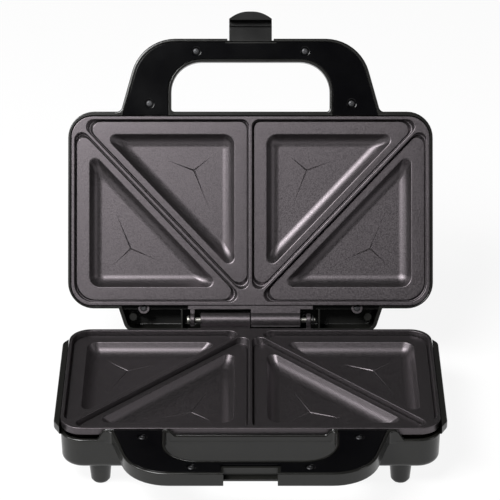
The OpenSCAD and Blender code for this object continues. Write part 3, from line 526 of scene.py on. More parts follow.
land_at = HINGE_AT - Vector((0, HINGE_BACK, HINGE_UP)) * MM
ON_BASE = Matrix.Translation(land_at) @ Matrix.Rotation(pi, 4, "Y")
ON_LID = (Matrix.Translation(HINGE_AT) @ Matrix.Rotation(-OPENED, 4, "X")
          @ Matrix.Translation(Vector((0, -HINGE_BACK, PLATE_GAP - HINGE_UP)) * MM))
HALVES = {"base": ON_BASE, "lid": ON_LID, "latch": ON_LID}
print("lower land at", [round(c, 4) for c in land_at])

# %% [markdown]
# ## Handing a piece over
# A finished piece goes to its place, and points that lie on each other are merged. Gentle bends
# are shaded smooth and edges stay crisp. Normals weighted by face size keep flat faces flat, so
# highlights break only along the rounded edges.

# %% Settling a piece on its body
MERGE = 0.004                    # points closer than this become one
STAYS_SHARP = radians(32)   # edges that bend more than this stay sharp


def settle(piece, body, slot, material, *nodes, place=None):
    """Puts a finished piece in its place, smooths it, and hands it to its body."""
    pick(piece)
    piece.matrix_world = (place or HALVES[body]) @ piece.matrix_world
    bpy.ops.object.transform_apply(location=True, rotation=True, scale=True)
    bpy.ops.object.mode_set(mode="EDIT")
    bpy.ops.mesh.select_all(action="SELECT")
    bpy.ops.mesh.remove_doubles(threshold=MERGE * MM)
    bpy.ops.mesh.normals_make_consistent(inside=False)
    bpy.ops.object.mode_set(mode="OBJECT")
    bpy.ops.object.shade_smooth_by_angle(angle=STAYS_SHARP)
    change(piece, "WEIGHTED_NORMAL", keep_sharp=True)
    piece.data.materials.clear()
    piece.data.materials.append(material)
    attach(piece, body)
    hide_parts(*nodes)
    size = [round(s / MM, 1) for s in piece.dimensions]
    print(f"{piece.name}: {size} mm, {len(piece.data.polygons)} faces")
    return piece


print("pieces can settle on", list(HALVES))

# %% [markdown]
# ## The cooking plate
# One die casting serves above and below. Its face holds two bread seats on each side of a centre
# ridge, and each seat has a triangular pocket for the filling. A cutting ridge runs between the
# two seats, so their outlines come from moving its line to both sides.

# %% Measures of the plate
PLATE_W, PLATE_D = 262, 138.5
PLATE_R = 15.5
SKIRT = 5.5              # thickness of the slab
SEAT_DEEP, POCKET_DEEP = 3.4, 7.5
FLOOR_Z = SEAT_DEEP + POCKET_DEEP
RIM_SIDE, RIM_BACK, RIM_FRONT = 2.4, 2.7, 2.5
CENTRE_RIDGE, CUT_RIDGE = 2.4, 2.3
PLATE_WALL = 2.5


def meet(p, u, q, v):
    """Where the line through p along u meets the line through q along v."""
    return p + u * ((q - p).cross(v) / u.cross(v))


seat_low = Vector((CENTRE_RIDGE / 2, -(PLATE_D - RIM_FRONT)))
seat_high = Vector((PLATE_W / 2 - RIM_SIDE, -RIM_BACK))
cut_from = Vector((seat_high.x, seat_low.y))
cut_along = (Vector((seat_low.x, seat_high.y)) - cut_from).normalized()
cut_across = Vector((cut_along.y, -cut_along.x)) * (CUT_RIDGE / 2)


def seat_corners(corner, side):
    """A seat's square corner, and where its edges meet the cutting ridge."""
    cut = cut_from + cut_across * side
    return [corner, *(meet(cut, cut_along, corner, Vector(way)) for way in ((1, 0), (0, 1)))]


front_seat, back_seat = seat_corners(seat_low, -1), seat_corners(seat_high, 1)
print("front seat's corners:", [[round(c, 1) for c in p] for p in front_seat])

# %% [markdown]
# ## The pocket's slope
# A pocket leaves its seat over a small lip, runs down a steep slope and meets the floor in a wide
# knee, so that the filling is pressed thin at its edge. The rows below give that section for the
# inside and for the casting's underside.

# %% A pocket's outline and section
POCKET_LIP = 0.8         # rounding of the pocket's upper edge
LIP_OUT = 0.3            # how far the lip starts outside the pocket's outline
POCKET_KNEE = 8.5        # rounding of its lower edge
POCKET_SLOPE = radians(61)
LIP_STEPS, KNEE_STEPS = 4, 6


def pocket_corners(seat, straight, cut):
    """A seat's corners moved in from its two straight sides and from the cutting ridge."""
    u, v = ((seat[i] - seat[0]).normalized() for i in (1, 2))
    w = (seat[2] - seat[1]).normalized()
    start = seat[0] + (u + v) * straight
    across = seat[1] + Vector((-w.y, w.x)) * cut
    return [start, meet(across, w, start, u), meet(across, w, start, v)]


def pocket_rows():
    """How far in and how deep a pocket's rings lie, from its seat to its floor."""
    s, c = sin(POCKET_SLOPE), 1 - cos(POCKET_SLOPE)
    rows = []
    for i in range(LIP_STEPS + 1):
        a = POCKET_SLOPE * i / LIP_STEPS
        rows.append((-LIP_OUT + POCKET_LIP * sin(a), POCKET_LIP * (1 - cos(a))))
    drop = POCKET_DEEP - (POCKET_KNEE + POCKET_LIP) * c
    run = rows[-1][0] + drop / tan(POCKET_SLOPE) + POCKET_KNEE * s
    for i in range(KNEE_STEPS + 1):
        a = POCKET_SLOPE * (1 - i / KNEE_STEPS)
        rows.append((run - POCKET_KNEE * sin(a),
                     POCKET_DEEP - POCKET_KNEE * (1 - cos(a))))
    return rows


pocket_run = pocket_rows()[-1][0]
print("a pocket slopes in by", round(pocket_run, 2), "mm")

# %% [markdown]
# ## One seat with its pocket
# A seat is cut together with its pocket in one go: a cutter pulled through rings that follow the
# seat's wall, dip into the sealing groove at its foot, cross its floor and go down the pocket.

# %% The cutter of a seat
LAND_ROUND = 0.5         # rounding of the ridges and the land's inner edges
SEAT_DRAFT = 0.3         # how far a seat's wall leans
GROOVE_W, GROOVE_DEEP = 1.2, 1.5   # the sealing groove at the foot of a seat's wall
POCKET_R = (8, 4.4, 4.4)           # radii of a pocket's corners at its seat
R_LOSS, R_LEAST = (0.66, 0.4, 0.4), (2.2, 1.0, 1.0)   # how they shrink, and how far


def seat_wall():
    """How far in and how deep the rings of a seat's wall and groove lie."""
    low = SEAT_DEEP + GROOVE_DEEP
    return (mouth(-LAND_ROUND, 0, 0, LAND_ROUND, 4)
            + curve((SEAT_DRAFT, low - 0.25), (SEAT_DRAFT + 0.25, low), False, 3)
            + [(SEAT_DRAFT + 0.4, low), (SEAT_DRAFT + GROOVE_W, SEAT_DEEP + 0.1),
               (SEAT_DRAFT + GROOVE_W + 0.15, SEAT_DEEP)])


def seat_cutter(seat, radii, floor_radii, pocket, side):
    """The solid that cuts one seat and its pocket; side is 1 or -1."""
    lines = []
    for d, z in seat_wall():
        t = min(max(z / SEAT_DEEP, 0), 1)
        r = [a + (b - a) * t for a, b in zip(radii, floor_radii)]
        lines.append(at_height(rounded(inset(seat, d), [max(q - min(d, 0), 0.3) for q in r]), z))
    for d, z in pocket_rows():
        r = [max(q - loss * d, least) for q, loss, least in zip(POCKET_R, R_LOSS, R_LEAST)]
        lines.append(at_height(rounded(inset(pocket, d), r), SEAT_DEEP + z))
    return pull("seat_cutter", on_side(lines, side))


print("the sealing groove ends", SEAT_DEEP + GROOVE_DEEP, "mm below the land")

# %% [markdown]
# ## Creases on the pocket's floor
# Three shallow V grooves meet on each floor and fade towards its corners. They let trapped steam
# spread under the bread. Each arm is cut by a small wedge, wide and deep at the middle.

# %% Creases
CREASE_W, CREASE_DEEP = 1.5, 0.55
CREASE_REACH = (0.66, 0.455, 0.57)   # how far each arm runs towards its corner
CREASE_HEEL = 0.3        # how far an arm starts behind the middle
CREASE_ABOVE = 0.06      # its cutter is full width this far above the floor


def crease_cutters(pocket, meet_at, side):
    """The wedges that cut the three creases of one pocket."""
    floor = inset(pocket, pocket_run)
    u, v = ((pocket[i] - pocket[0]).normalized() for i in (1, 2))
    middle = pocket[0] + u * meet_at[0] + v * meet_at[1]
    arms = []
    for corner, reach in zip(floor, CREASE_REACH):
        tip = middle + (corner - middle) * reach
        along = (corner - middle).normalized()
        across = Vector((-along.y, along.x))
        heel = middle - along * CREASE_HEEL
        wide, thin = across * (CREASE_W / 2), across * 0.03
        top = [heel - wide, tip, heel + wide]
        arm = [at_height(top, FLOOR_Z - OVER), at_height(top, FLOOR_Z - CREASE_ABOVE),
               [(*(heel - thin), FLOOR_Z + CREASE_DEEP), (*tip, FLOOR_Z + 0.02),
                (*(heel + thin), FLOOR_Z + CREASE_DEEP)]]
        arms.append(pull("crease_cutter", on_side(arm, side)))
    return arms


print("creases reach", [round(r * 100) for r in CREASE_REACH], "percent of the way")

# %% [markdown]
# ## What hangs on the casting
# Behind the slab hang the undersides of the pockets, bosses for the heater, lugs for the screws
# and two front tongues. At the back, one side carries a hinge barrel and the other a thin lug, so
# that two of these castings interlock on one pin.

# %% Undersides and hinge barrels
LUG_AT, LUG_R = (78, 2), 4.1
LUG_TOP, LUG_LOW = 3, 6  # where a plate's lug begins, and where it stands on its post
BOSSES = ((PLATE_W / 2 - 18, 17.5 - PLATE_D), (12, -18))
TONGUE_FROM, TONGUE_TO = 62, 78
BARREL_L, BARREL_D, LUG_T = 36.4, 10.6, 3.2
PIN_D = 4
END_LUG_X = BARREL_L + 0.2 + 4.2
TAB_X, TAB_BACK, WEB_IN = BARREL_L + 2 * LUG_T + 3, 3, 1
# Of each seat: corners, their radii above and at its floor, pocket, and how far from the pocket's
# straight sides its creases meet
SEATS = ((front_seat, (5, 5.2, 5.2), (5.2, 5.9, 5.9), pocket_corners(front_seat, 10.4, 6),
          (29.8, 26.4)),
         (back_seat, (13.9, 5.2, 5.2), (13.9, 5.9, 5.2), pocket_corners(back_seat, 10.6, 6),
          (30.1, 28.4)))


def underside(pocket, side):
    """The outside of one pocket, a wall's thickness away from its inside."""
    rows = [(-PLATE_WALL, SKIRT - 1), (-PLATE_WALL, SKIRT)]
    rows += [(d - PLATE_WALL, SEAT_DEEP + PLATE_WALL + z) for d, z in pocket_rows()[LIP_STEPS:]]
    lines = [at_height(rounded(inset(pocket, d), POCKET_R), z) for d, z in rows]
    return pull("underside", on_side(lines, side))


def knuckle(x0, x1, pin_height, d, side):
    """A hinge barrel or lug with its web."""
    length, edge = x1 - x0, 0.4
    rows = [(d / 2 - edge, 0), (d / 2, edge), (d / 2, length - edge), (d / 2 - edge, length)]
    rows = [(r, (x0 + h) * side) for r, h in rows]
    barrel = turned("knuckle", (0, HINGE_BACK, pin_height), "x", rows)
    top = min(SKIRT, pin_height + d / 2 - 0.5)
    return fuse(barrel, block("web", (x0, TAB_BACK - 1, WEB_IN), (x1, HINGE_BACK, top), 0.3,
                              side))


print("two barrels fill", round(2 * BARREL_L, 1), "mm of the pin")

# %% The casting
def plate_blank(name, pin_height):
    """The casting with its hinge, before its seats are cut."""
    edge = curve((0.6, 0), (0, 0.6), True) + curve((0, SKIRT - 0.5), (0.5, SKIRT), False)
    casting = pull(name, rings(frame_corners(PLATE_W / 2, PLATE_D, 0), [PLATE_R] * 4, edge))
    fuse(casting, block("tab", (-TAB_X, -TAB_BACK, WEB_IN), (TAB_X, TAB_BACK, SKIRT), 0.5))
    boss = [(3, SKIRT - 1), (3, SKIRT + 6.4), (2.7, SKIRT + 6.7)]
    lug = curve((LUG_R - 0.3, LUG_TOP), (LUG_R, LUG_TOP + 0.3), True, 2) + [(LUG_R, LUG_LOW)]
    for side in (1, -1):
        for *_, pocket, _ in SEATS:
            fuse(casting, underside(pocket, side))
        for at in BOSSES:
            fuse(casting, post("boss", at, boss, side, 24))
        fuse(casting, post("lug", LUG_AT, lug, side),
             block("tongue", (TONGUE_FROM, -PLATE_D - 2, SKIRT - 2),
                   (TONGUE_TO, -PLATE_D + 2, SKIRT), 0.3, side))
    return fuse(casting, knuckle(0.2, BARREL_L, pin_height, BARREL_D, 1),
                knuckle(END_LUG_X, END_LUG_X + LUG_T, pin_height, BARREL_D - 1, -1))


def plate_casting(name, pin_height):
    """The casting that both plates share."""
    casting = plate_blank(name, pin_height)
    bore = [(PIN_D / 2 + 0.05, -60), (PIN_D / 2 + 0.05, 60)]
    carve(casting, turned("bore", (0, HINGE_BACK, pin_height), "x", bore, 32))
    hole = [(3.0, -OVER), (2.7, 0), (2.7, 4.4), (1.6, 4.4), (1.6, 9)]
    for side in (1, -1):
        for seat, radii, floor_radii, pocket, meet_at in SEATS:
            carve(casting, seat_cutter(seat, radii, floor_radii, pocket, side),
                  *crease_cutters(pocket, meet_at, side))
        carve(casting, post("hole", LUG_AT, hole, side, 32))
    return casting


for half, level, pin_height in (("base", "lower", -HINGE_UP),
                                ("lid", "upper", HINGE_UP - PLATE_GAP)):
    settle(plate_casting(level + "_plate_casting", pin_height), half, "cooking_plate",
           plate_coat, level + "_plate")

# %% [markdown]
# ## The handles
# Both halves carry the same bow-shaped handle, which flows into the housing with small fillets
# and has a sunken bed for its cover. Its outline goes down one arm, across the grip and back, then
# round the finger opening.

# %% The handle's measures
FRONT, BACK = PLATE_D + 3.4, 2.2     # the housing's front and back
GRIP_FRONT = FRONT + 53.5
GRIP_BACK = GRIP_FRONT - 17.2
ROOT_X, TIP_X, FINGER_X = 95, 80, 58
ROOT_END, FINGER_END = ROOT_X + 4.6, FINGER_X - 2.8     # where the fillets at the roots end
TIP_R, FINGER_R, OUTER_FILLET, INNER_FILLET = 33, 22, 4, 2.5
HANDLE_TOP, HANDLE_T, HANDLE_EDGE = 0.75, 10.2, 1.1
COVER_RIM, COVER_SINK, COVER_T, COVER_FIT = 2, 0.3, 1.4, 0.45
COVER_BED = HANDLE_TOP + COVER_SINK + COVER_T
WALL_Y = -FRONT + 0.05   # the handle's fillets end on the housing's front wall
LAP_Y = -PLATE_D - 0.7   # and its root runs this far into it
handle_corners = (whole((-ROOT_END, LAP_Y), (-ROOT_END, WALL_Y), (-ROOT_X, WALL_Y),
                        (-TIP_X, -GRIP_FRONT))
                  + whole((FINGER_END, LAP_Y), (FINGER_END, WALL_Y), (FINGER_X, WALL_Y),
                          (FINGER_X, -GRIP_BACK)))
HANDLE_RADII = [0, 0, OUTER_FILLET, TIP_R, TIP_R, OUTER_FILLET, 0, 0,
                0, 0, INNER_FILLET, FINGER_R, FINGER_R, INNER_FILLET, 0, 0]
print("handle reaches", GRIP_FRONT, "mm from the plates' back")

# %% The handle and its cover's bed
def cover_outline(back):
    """The bow that the cover and its bed share, whose arms end at y = -back."""
    root = ROOT_X + (FRONT - back) * (ROOT_X - TIP_X) / (GRIP_FRONT - FRONT)
    corners = (whole((-root, -back), (-TIP_X, -GRIP_FRONT))
               + whole((FINGER_X, -back), (FINGER_X, -GRIP_BACK)))
    return corners, [0, TIP_R, TIP_R, 0, 0, FINGER_R, FINGER_R, 0]


def handle_solid():
    """The handle, whose large faces are split so that later cuts stay clean."""
    top, low, edge = HANDLE_TOP, HANDLE_TOP + HANDLE_T, HANDLE_EDGE
    rows = curve((edge, top), (0, top + edge), True, 5)
    rows += curve((0, low - edge), (edge, low), False)
    handle = pull("handle", rings(handle_corners, HANDLE_RADII, rows))
    return change(handle, "TRIANGULATE", min_vertices=5)


def cover_bed():
    """The cutter for the bed that a cover lies in."""
    rows = mouth(COVER_RIM - 0.35, COVER_RIM, HANDLE_TOP, 0.35) + [(COVER_RIM, COVER_BED)]
    return pull("cover_bed", rings(*cover_outline(PLATE_D - COVER_RIM + 0.25), rows))


print("a cover's bed lies", round(COVER_BED, 2), "mm below the land")

# %% [markdown]
# ## The lid's housing
# The lid is a shallow dome with an upright rim, and a narrower cowl at its back hides the hinge.
# The hollow is cut with two more solids of the same kind, so the wall keeps its thickness.

# %% Dome and hollow
RIM = 1                  # height of the housing's brink below the land
WALL = 2.4


def dome(name, corners, r, side_top, d, top, brink=0.5):
    """A pan's outside: a rounded brink, an upright wall and a dome."""
    rows = curve((brink, RIM), (0, RIM + brink), True, 3)
    rows += curve((0, side_top), (d, top), False, 9)
    return pull(name, rings(corners, [r] * 4, rows))


def hollow(name, corners, r, side_top, d, top, flare=0.35):
    """The cutter for a pan's inside."""
    rows = mouth(-flare, 0, RIM, flare) + curve((0, side_top), (d, top), False, 6)
    return pull(name, rings(corners, [r] * 4, rows))


def lug_post(length, side):
    """The post that one of a plate's lugs is screwed to."""
    rows = [(LUG_R - 0.3, LUG_LOW), (LUG_R, LUG_LOW + 0.3), (LUG_R, length)]
    return post("lug_post", LUG_AT, rows, side)


print("the housings' walls are", WALL, "mm thick")

# %% The lid's housing
LID_H = 30
INNER = (PLATE_W / 2 + 0.5, PLATE_D + 0.5, 0.5)   # half width, front and back of the hollow
COWL_X, COWL_BACK, COWL_H, COWL_R = 96.3, 19, LID_H - 4, 8
cowl_corners = points((-COWL_X - 4, -9.8), (COWL_X + 4, -9.8), (COWL_X - 5.6, COWL_BACK),
                      (-COWL_X + 5.6, COWL_BACK))
RIB_FROM, RIB_TO = 49.5, 50.9        # a rib in the cowl
COWL_POST = (86, 8.4)
LENS_AT, LENS_HOLE_R = (13, -32), 4.1
LATCH_ROOM, EYE_ROOM = 17, 16        # half widths of the two openings for the latch


def lid_housing():
    shell = dome("lid_housing_shell", frame_corners(PLATE_W / 2 + 2.4, FRONT, BACK),
                 r=19, side_top=19, d=9, top=LID_H)
    cowl = dome("cowl", cowl_corners, r=COWL_R, side_top=17, d=5, top=COWL_H)
    fuse(shell, cowl, handle_solid())
    carve(shell, hollow("inside", frame_corners(*INNER), r=16, side_top=20, d=6,
                        top=LID_H - WALL))
    rows = [(WALL, -OVER), (WALL, 17)] + curve((WALL, 17), (WALL + 3.6, COWL_H - WALL), False)[1:]
    room = pull("cowl_room", rings(cowl_corners, [COWL_R] * 4, rows))
    carve(shell, carve(room, block("back_wall", (-200, -40, SKIRT + 1), (200, 2.9, 60))))
    for side in (1, -1):
        fuse(shell, block("rib", (RIB_FROM, 2.5, 4), (RIB_TO, 17, 22), 0.3, side),
             post("cowl_post", COWL_POST, [(2.6, 9), (3, 9.4), (3, 25)], side),
             lug_post(24, side))
        carve(shell, post("lens_hole", LENS_AT, [(LENS_HOLE_R, 20), (LENS_HOLE_R, 40)], side))
    y = -GRIP_FRONT
    return carve(shell, cover_bed(),
                 block("latch_room", (-LATCH_ROOM, y - 1, -1), (LATCH_ROOM, y + 1.4, 40)),
                 block("eye_room", (-EYE_ROOM, y - 1, 3.3), (EYE_ROOM, y + 7.4, 40)))


settle(lid_housing(), "lid", "housing_plastic", housing_abs, "lid_housing")

# %% [markdown]
# ## The base's rim
# The base's rim lies lower than the plate, so the plate's skirt shows above it at the corners.
# Low lips run along the sides, and at each arm of the handle the front wall climbs to the plate
# in an S curve.

# %% Front wall and side lips
BASE_H, CORNER_DROP = 30.6, 7.6
LIP_W, LIP_FRONT, LIP_BACK, LIP_R = 4.6, 11.5, 18, 7
WALL_HALF, DIP_X, DIP = 100, 56, 5.4
WALL_FOOT = WALL_HALF + 5.6


def front_wall():
    """The wall that rises behind the handle's arms, drawn from the front and pulled through.

    Its outline runs clockwise, so its margins let it flare a little at both ends.
    """
    end, low = WALL_FOOT + 4, CORNER_DROP + 1.3
    half = [(end, low + 0.35), (end, low), (WALL_FOOT - 0.6, low), (WALL_HALF, RIM),
            (DIP_X, RIM), (DIP_X - 4, DIP)]
    radii = [0, 0, 3, 3.4, 3, 3]
    lines = []
    for d, y in [(0.3, -PLATE_D - 0.5), (0, -PLATE_D - 0.8), (0, -FRONT + 0.6),
                 (0.1, -FRONT + 0.3), (0.3, -FRONT + 0.15)]:
        line = margin(whole(*half), radii + radii[::-1], d)
        lines.append([(p.x, y, p.y) for p in line])
    return pull("front_wall", lines)


def side_lip(side):
    """A lip along one side, whose rows also say how far a ring reaches under the plate."""
    y0, y1, x1 = -PLATE_D + LIP_FRONT, -LIP_BACK, PLATE_W / 2 + LIP_W
    rows = [(d, z, 0) for d, z in curve((0.8, RIM), (0, RIM + 1.2), True)]
    rows += [(0, CORNER_DROP - 1.6, 0), (0.3, CORNER_DROP - 0.6, 0), (0.9, CORNER_DROP + 0.2, 0),
             (1.3, CORNER_DROP + 0.5, 1.5), (3.5, CORNER_DROP + 3, 1.5)]
    lines = []
    for d, z, root in rows:
        x0 = INNER[0] - root
        line = rounded(points((x0, y0 - 7 + d), (x1 - d, y0 + d), (x1 - d, y1 - d),
                              (x0, y1 + 5 - d)), [0, LIP_R, LIP_R, 0])
        lines.append(at_height(line, z))
    return pull("side_lip", on_side(lines, side))


print("the rim drops by", CORNER_DROP, "mm at the corners")

# %% [markdown]
# ## The base's housing
# Under the rim the base is a hollow tray. Two ribs at its back stop the open lid, and a boss
# carries the cord's hole. The recess in its grip leaves room for the latch, which catches under
# the small ledge there.

# %% The base's tray and details
BASE_X, BASE_R = PLATE_W / 2 + 0.4, 16.6
STOP_FROM, STOP_TO, STOP_BACK = 62, 67, 7.4
INLET_X, INLET_Z = PLATE_W / 2 - 25, BASE_H - WALL - 6.5
INLET_R, INLET_BOSS_R = 5.55, 8
RECESS_X, RECESS_BACK = 18.2, 10


def base_tray():
    """The hollow tray with its rounded rim and floor."""
    foot, side = BASE_H - 4.4, CORNER_DROP
    rows = curve((1.2, side), (0, side + 1.2), True, 4)
    rows += [(0, side + 1.8), (0.15, side + 2.05), (0.5, side + 2.25), (0.9, foot)]
    rows += curve((0.9, foot), (5, BASE_H), False, 7)[1:]
    corners = frame_corners(BASE_X, FRONT, BACK)
    tray = pull("base_housing_tray", rings(corners, [BASE_R] * 4, rows))
    rows = mouth(WALL - 0.3, WALL, side, 0.3)
    rows += curve((WALL + 1.1, BASE_H - 4.5), (WALL + 3.6, BASE_H - WALL), False)
    return carve(tray, pull("inside", rings(corners, [BASE_R] * 4, rows)))


def base_housing():
    tray = fuse(base_tray(), front_wall(), handle_solid(), side_lip(1), side_lip(-1))
    for side in (1, -1):
        fuse(tray, block("stop", (STOP_FROM, BACK - 1, 4), (STOP_TO, STOP_BACK, 20), 0.5, side),
             lug_post(20, side))
    inlet = (INLET_X, 0, INLET_Z)
    boss = [(INLET_BOSS_R, -2.2), (INLET_BOSS_R, BACK), (INLET_BOSS_R - 0.3, BACK + 0.05)]
    y, low = -GRIP_FRONT, HANDLE_TOP + HANDLE_T
    fuse(tray, turned("inlet_boss", inlet, "y", boss))
    carve(tray, turned("inlet", inlet, "y", [(INLET_R, -9), (INLET_R, 9)]), cover_bed(),
          block("recess", (-RECESS_X, y - 1, -1), (RECESS_X, y + RECESS_BACK, 40)))
    return fuse(tray, block("ledge", (-RECESS_X - 1, y + 6.5, low - 1.7),
                            (RECESS_X + 1, y + 10.5, low), 0.3))


settle(base_housing(), "base", "housing_plastic", housing_abs, "base_housing")

# %% [markdown]
# ## Covers on the handles
# A thin bow-shaped cover hides the hollow of each handle and is held by four screws in sunken
# seats. It is a thin solid with softly rounded upper edges, cut away at the latch.

# %% Handle covers
SCREWS = ((39.8, -(GRIP_FRONT - 9.2)), (74, -(FRONT + 6)))
SEAT_R, SEAT_EDGE, SEAT_LOW, SHANK_R = 3.1, 0.7, 0.9, 1.35   # of a screw's sunken seat


def handle_cover(name, notch_x, notch_back):
    """A cover with a notch of this half width and depth in its front."""
    face = HANDLE_TOP + COVER_SINK
    d = COVER_RIM + COVER_FIT
    rows = curve((d + 0.4, face), (d, face + 0.4), True, 3) + [(d, COVER_BED - 0.01)]
    corners, radii = cover_outline(PLATE_D + 0.8 - d)
    cover = pull(name, rings(corners, radii, rows))
    seat = mouth(SEAT_R + SEAT_EDGE, SEAT_R, face, 0.6)
    seat += [(SEAT_R, face + SEAT_LOW), (SHANK_R, face + SEAT_LOW), (SHANK_R, face + 3)]
    for side in (1, -1):
        for at in SCREWS:
            carve(cover, post("screw_seat", at, seat, side, 32))
    return carve(cover, block("notch", (-notch_x, -GRIP_FRONT - 1, -1),
                              (notch_x, -GRIP_FRONT + notch_back, 9)))


settle(handle_cover("lid_handle_cover_bow", 19, 3.4), "lid", "cover_plastic", cover_abs,
       "lid_handle_cover")
settle(handle_cover("base_handle_cover_bow", RECESS_X + COVER_RIM, RECESS_BACK + COVER_RIM),
       "base", "cover_plastic", cover_abs, "base_handle_cover")

# %% [markdown]
# ## The latch
# The latch turns on a pin in the lid's grip and hooks under the base's grip. Its side view, an L
# with a hook, is pulled sideways. Its tip is an arc from above, where an arc-ended slab trims it.

# %% Side view
LATCH_HALF, LATCH_L, LATCH_RISE = 15.7, 24.5, 5.5
LATCH_Y, LATCH_UP = GRIP_FRONT - 4.4, HANDLE_TOP + 5.5
EYE_R, EYE_CUT, PIN_BORE_R = 2.6, 1.2, 1.25
FLAT_UP, FLAT_T, HOOK = 3.3, 3, 7.5
SLOT_UP = FLAT_UP + 1.6     # the slot behind the hook is sunk into the flat
CATCH_AT = PLATE_GAP + LATCH_UP + HANDLE_TOP + HANDLE_T + 0.5
ARC_STEPS, ARC_POWER = 28, 2.3


def latch_profile():
    """Corners and radii of the latch's side view, which runs from its eye to its tip."""
    tip, rib, rib_w = -LATCH_L, -CATCH_AT + 2.8, 1.2
    corners = [(EYE_R, -EYE_CUT), (EYE_R, FLAT_UP + FLAT_T), (tip, FLAT_UP + FLAT_T),
               (tip, FLAT_UP - HOOK), (-CATCH_AT, FLAT_UP - HOOK), (-CATCH_AT, SLOT_UP),
               (rib, SLOT_UP), (rib, FLAT_UP - 2.6), (rib + rib_w, FLAT_UP - 2.6),
               (rib + rib_w, FLAT_UP), (-EYE_R, FLAT_UP), (-EYE_R, -EYE_CUT),
               (-EYE_CUT, -EYE_R), (EYE_CUT, -EYE_R)]
    radii = [1, 1, 1.2, 0.8, 0.5, 0.4, 0.3, 0.35, 0.35, 0.3, 0.5, 1, 1, 1]
    return points(*corners), radii


print("the hook reaches", round(CATCH_AT, 2), "mm from the latch's pin")

# %% The latch
def arc_slab():
    """A slab whose front end is the arc of the latch's tip."""
    arc = []
    for i in range(ARC_STEPS + 1):
        t = sin(pi * (i / ARC_STEPS - 0.5))
        arc.append(Vector((LATCH_HALF * t, LATCH_RISE * abs(t) ** ARC_POWER - LATCH_L)))
    wide = LATCH_HALF + 1
    arc[0].x, arc[-1].x = -wide, wide
    outline = [Vector((-wide, 6))] + arc + [Vector((wide, 6))]
    return pull("arc_slab", [[(p.x, p.y - LATCH_Y, z + LATCH_UP) for p in outline]
                             for z in (-20, 20)])


def latch_piece():
    corners, radii = latch_profile()
    lines = []
    for d, x in [(0.3, -LATCH_HALF), (0.08, -LATCH_HALF + 0.1), (0, -LATCH_HALF + 0.35),
                 (0, LATCH_HALF - 0.35), (0.08, LATCH_HALF - 0.1), (0.3, LATCH_HALF)]:
        line = margin(corners, radii, d, 0.1)
        lines.append([(x, p.x - LATCH_Y, p.y + LATCH_UP) for p in line])
    latch = combine(pull("latch_hook", lines), "INTERSECT", [arc_slab()])
    bore = [(PIN_BORE_R, -20), (PIN_BORE_R, 20)]
    return carve(latch, turned("pin_bore", (0, -LATCH_Y, LATCH_UP), "x", bore, 24))


settle(latch_piece(), "latch", "latch_plastic", latch_abs, "latch")

# %% [markdown]
# ## Feet and pads
# Four tapered feet stand under the floor of the base, each on a rubber pad. Both are turned
# shapes: a short list of radii and heights.

# %% Feet and pads
FOOT_H, PAD_T, FOOT_R = 17, 1.6, 8
PAD_AT = BASE_H + FOOT_H - PAD_T     # where a pad begins
FEET = [((PLATE_W / 2 - 27) * side, y) for side in (1, -1) for y in (-13.5, 13.5 - FRONT)]


def foot(x, y):
    rows = [(3, BASE_H - 3.5), (3, BASE_H + 0.01), (FOOT_R - 0.3, BASE_H + 0.01),
            (FOOT_R, BASE_H + 0.4)]
    rows += curve((6.7, PAD_AT - 1), (5.9, PAD_AT), False)
    return turned("foot", (x, y, 0), "z", rows)


def pad(x, y):
    rows = [(5.6, PAD_AT + 0.005), (5.8, PAD_AT + 0.2), (5.6, PAD_AT + 0.8), (5.1, PAD_AT + 1.3),
            (4.4, PAD_AT + PAD_T)]
    return turned("pad", (x, y, 0), "z", rows)


settle(join("tapered_feet", [foot(*at) for at in FEET]), "base", "housing_plastic", housing_abs,
       "feet")
settle(join("rubber_foot_pads", [pad(*at) for at in FEET]), "base", "rubber", pad_rubber,
       "foot_pads")

# %% [markdown]
# ## Screws
# Each cover is held by four small cross-head screws, and each plate by two. A head is a turned
# shape with a domed top, and two tapering slots are cut across it.

# %% Screws
CROSS_W = 0.64           # width of a cross recess's slots


def screw(x, y, top, head_r, head_h, shank_r, length):
    """A cross-head screw whose dome lies at height top."""
    neck = top + head_h
    rows = [(head_r * 0.35, top), (head_r * 0.7, top + 0.1), (head_r * 0.93, top + 0.3),
            (head_r, top + 0.5), (head_r, neck), (shank_r, neck),
            (shank_r, neck + length - 0.5), (shank_r * 0.6, neck + length)]
    body = turned("screw", (x, y, 0), "z", rows, 32)
    reach = head_r * 0.62
    for a, b in ((reach, CROSS_W / 2), (CROSS_W / 2, reach)):
        lines = [[(x + p.x * k, y + p.y * k, z) for p in frame_corners(a, b, b)]
                 for k, z in ((1, top - 1), (1, top + 0.05), (0.6, top + head_h * 0.7))]
        carve(body, pull("cross", lines))
    return body


def screw_set(name, spots, *sizes):
    return join(name, [screw(x * side, y, *sizes) for x, y in spots for side in (1, -1)])


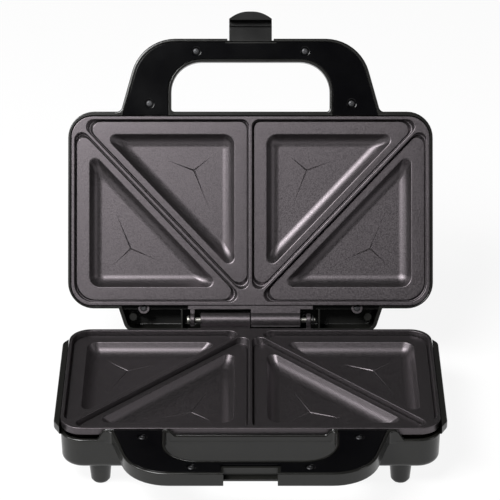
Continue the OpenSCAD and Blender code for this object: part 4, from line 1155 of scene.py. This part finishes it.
# Of each kind: where its dome lies, the head's radius and height, the shank's radius and length
COVER_SCREW = (HANDLE_TOP + COVER_SINK + 0.12, 2.2, 0.75, 1.25, 6)
PLATE_SCREW = (3.7, 2.4, 0.65, 1.5, 10)
for half in ("lid", "base"):
    settle(screw_set(half + "_cover_screws", SCREWS, *COVER_SCREW), half, "steel", dark_steel,
           half + "_handle_screws")
for half, level in (("lid", "upper"), ("base", "lower")):
    settle(screw_set(level + "_plate_fixing_screws", (LUG_AT,), *PLATE_SCREW), half, "steel",
           dark_steel, level + "_plate_screws")

# %% [markdown]
# ## Hinge pin
# One rod runs through both castings' barrels and lugs. It has a flat head at one end and a groove
# for the spring clip near the other. The rod stays with the base while the lid turns round it.

# %% The hinge pin
PIN_HALF = END_LUG_X + LUG_T + 0.8
PIN_R, PIN_HEAD_R, CLIP_GROOVE_R = PIN_D / 2, 3.2, 1.5
groove = 2 * PIN_HALF + 0.2
pin_rows = [(2.6, -1.6), (3.1, -1.35), (PIN_HEAD_R, -1), (PIN_HEAD_R, 0), (PIN_R, 0),
            (PIN_R, groove), (CLIP_GROOVE_R, groove), (CLIP_GROOVE_R, groove + 0.9),
            (PIN_R, groove + 0.9), (PIN_R, groove + 2), (PIN_R - 0.3, groove + 2.3)]
pin = turned("hinge_pin_rod", (-PIN_HALF, HINGE_BACK, HINGE_UP), "x", pin_rows)
settle(pin, "base", "steel", zinc_steel, "hinge_pin", place=Matrix.Translation(land_at))

# %% [markdown]
# ## The nodes that stay
# Heaters, reflectors, leads and the electrical parts lie inside, and the clip, the cord's bush and
# the lamps' lenses are small. They keep their meshes and get their real finishes.

# %% Finishes for the carried-over nodes
STAY = {
    dark_steel: "hinge_pin_clip",
    zinc_steel: "latch_pin lower_heater_clamps upper_heater_clamps lower_clamp_screws "
                "upper_clamp_screws",
    fired_sheath: "lower_heater upper_heater",
    sheet_aluminium: "lower_reflector upper_reflector",
    passivated_steel: "thermostat thermal_fuse",
    glazed_ceramic: "terminal_block lamp_holders",
    glass_sleeve: "base_wiring lid_wiring",
    red_lens: "power_lamp_lens", green_lens: "ready_lamp_lens", pad_rubber: "cord_bush",
}
own = {name: material for material, names in STAY.items() for name in names.split()}
for name, node in frame["nodes"].items():
    node.data.materials.clear()
    node.data.materials.append(own.get(name, housing_abs))
shown = [n for n, o in frame["nodes"].items() if not o.hide_render]
print("nodes still shown:", len(shown), "without their own finish:",
      [n for n in shown if n not in own])
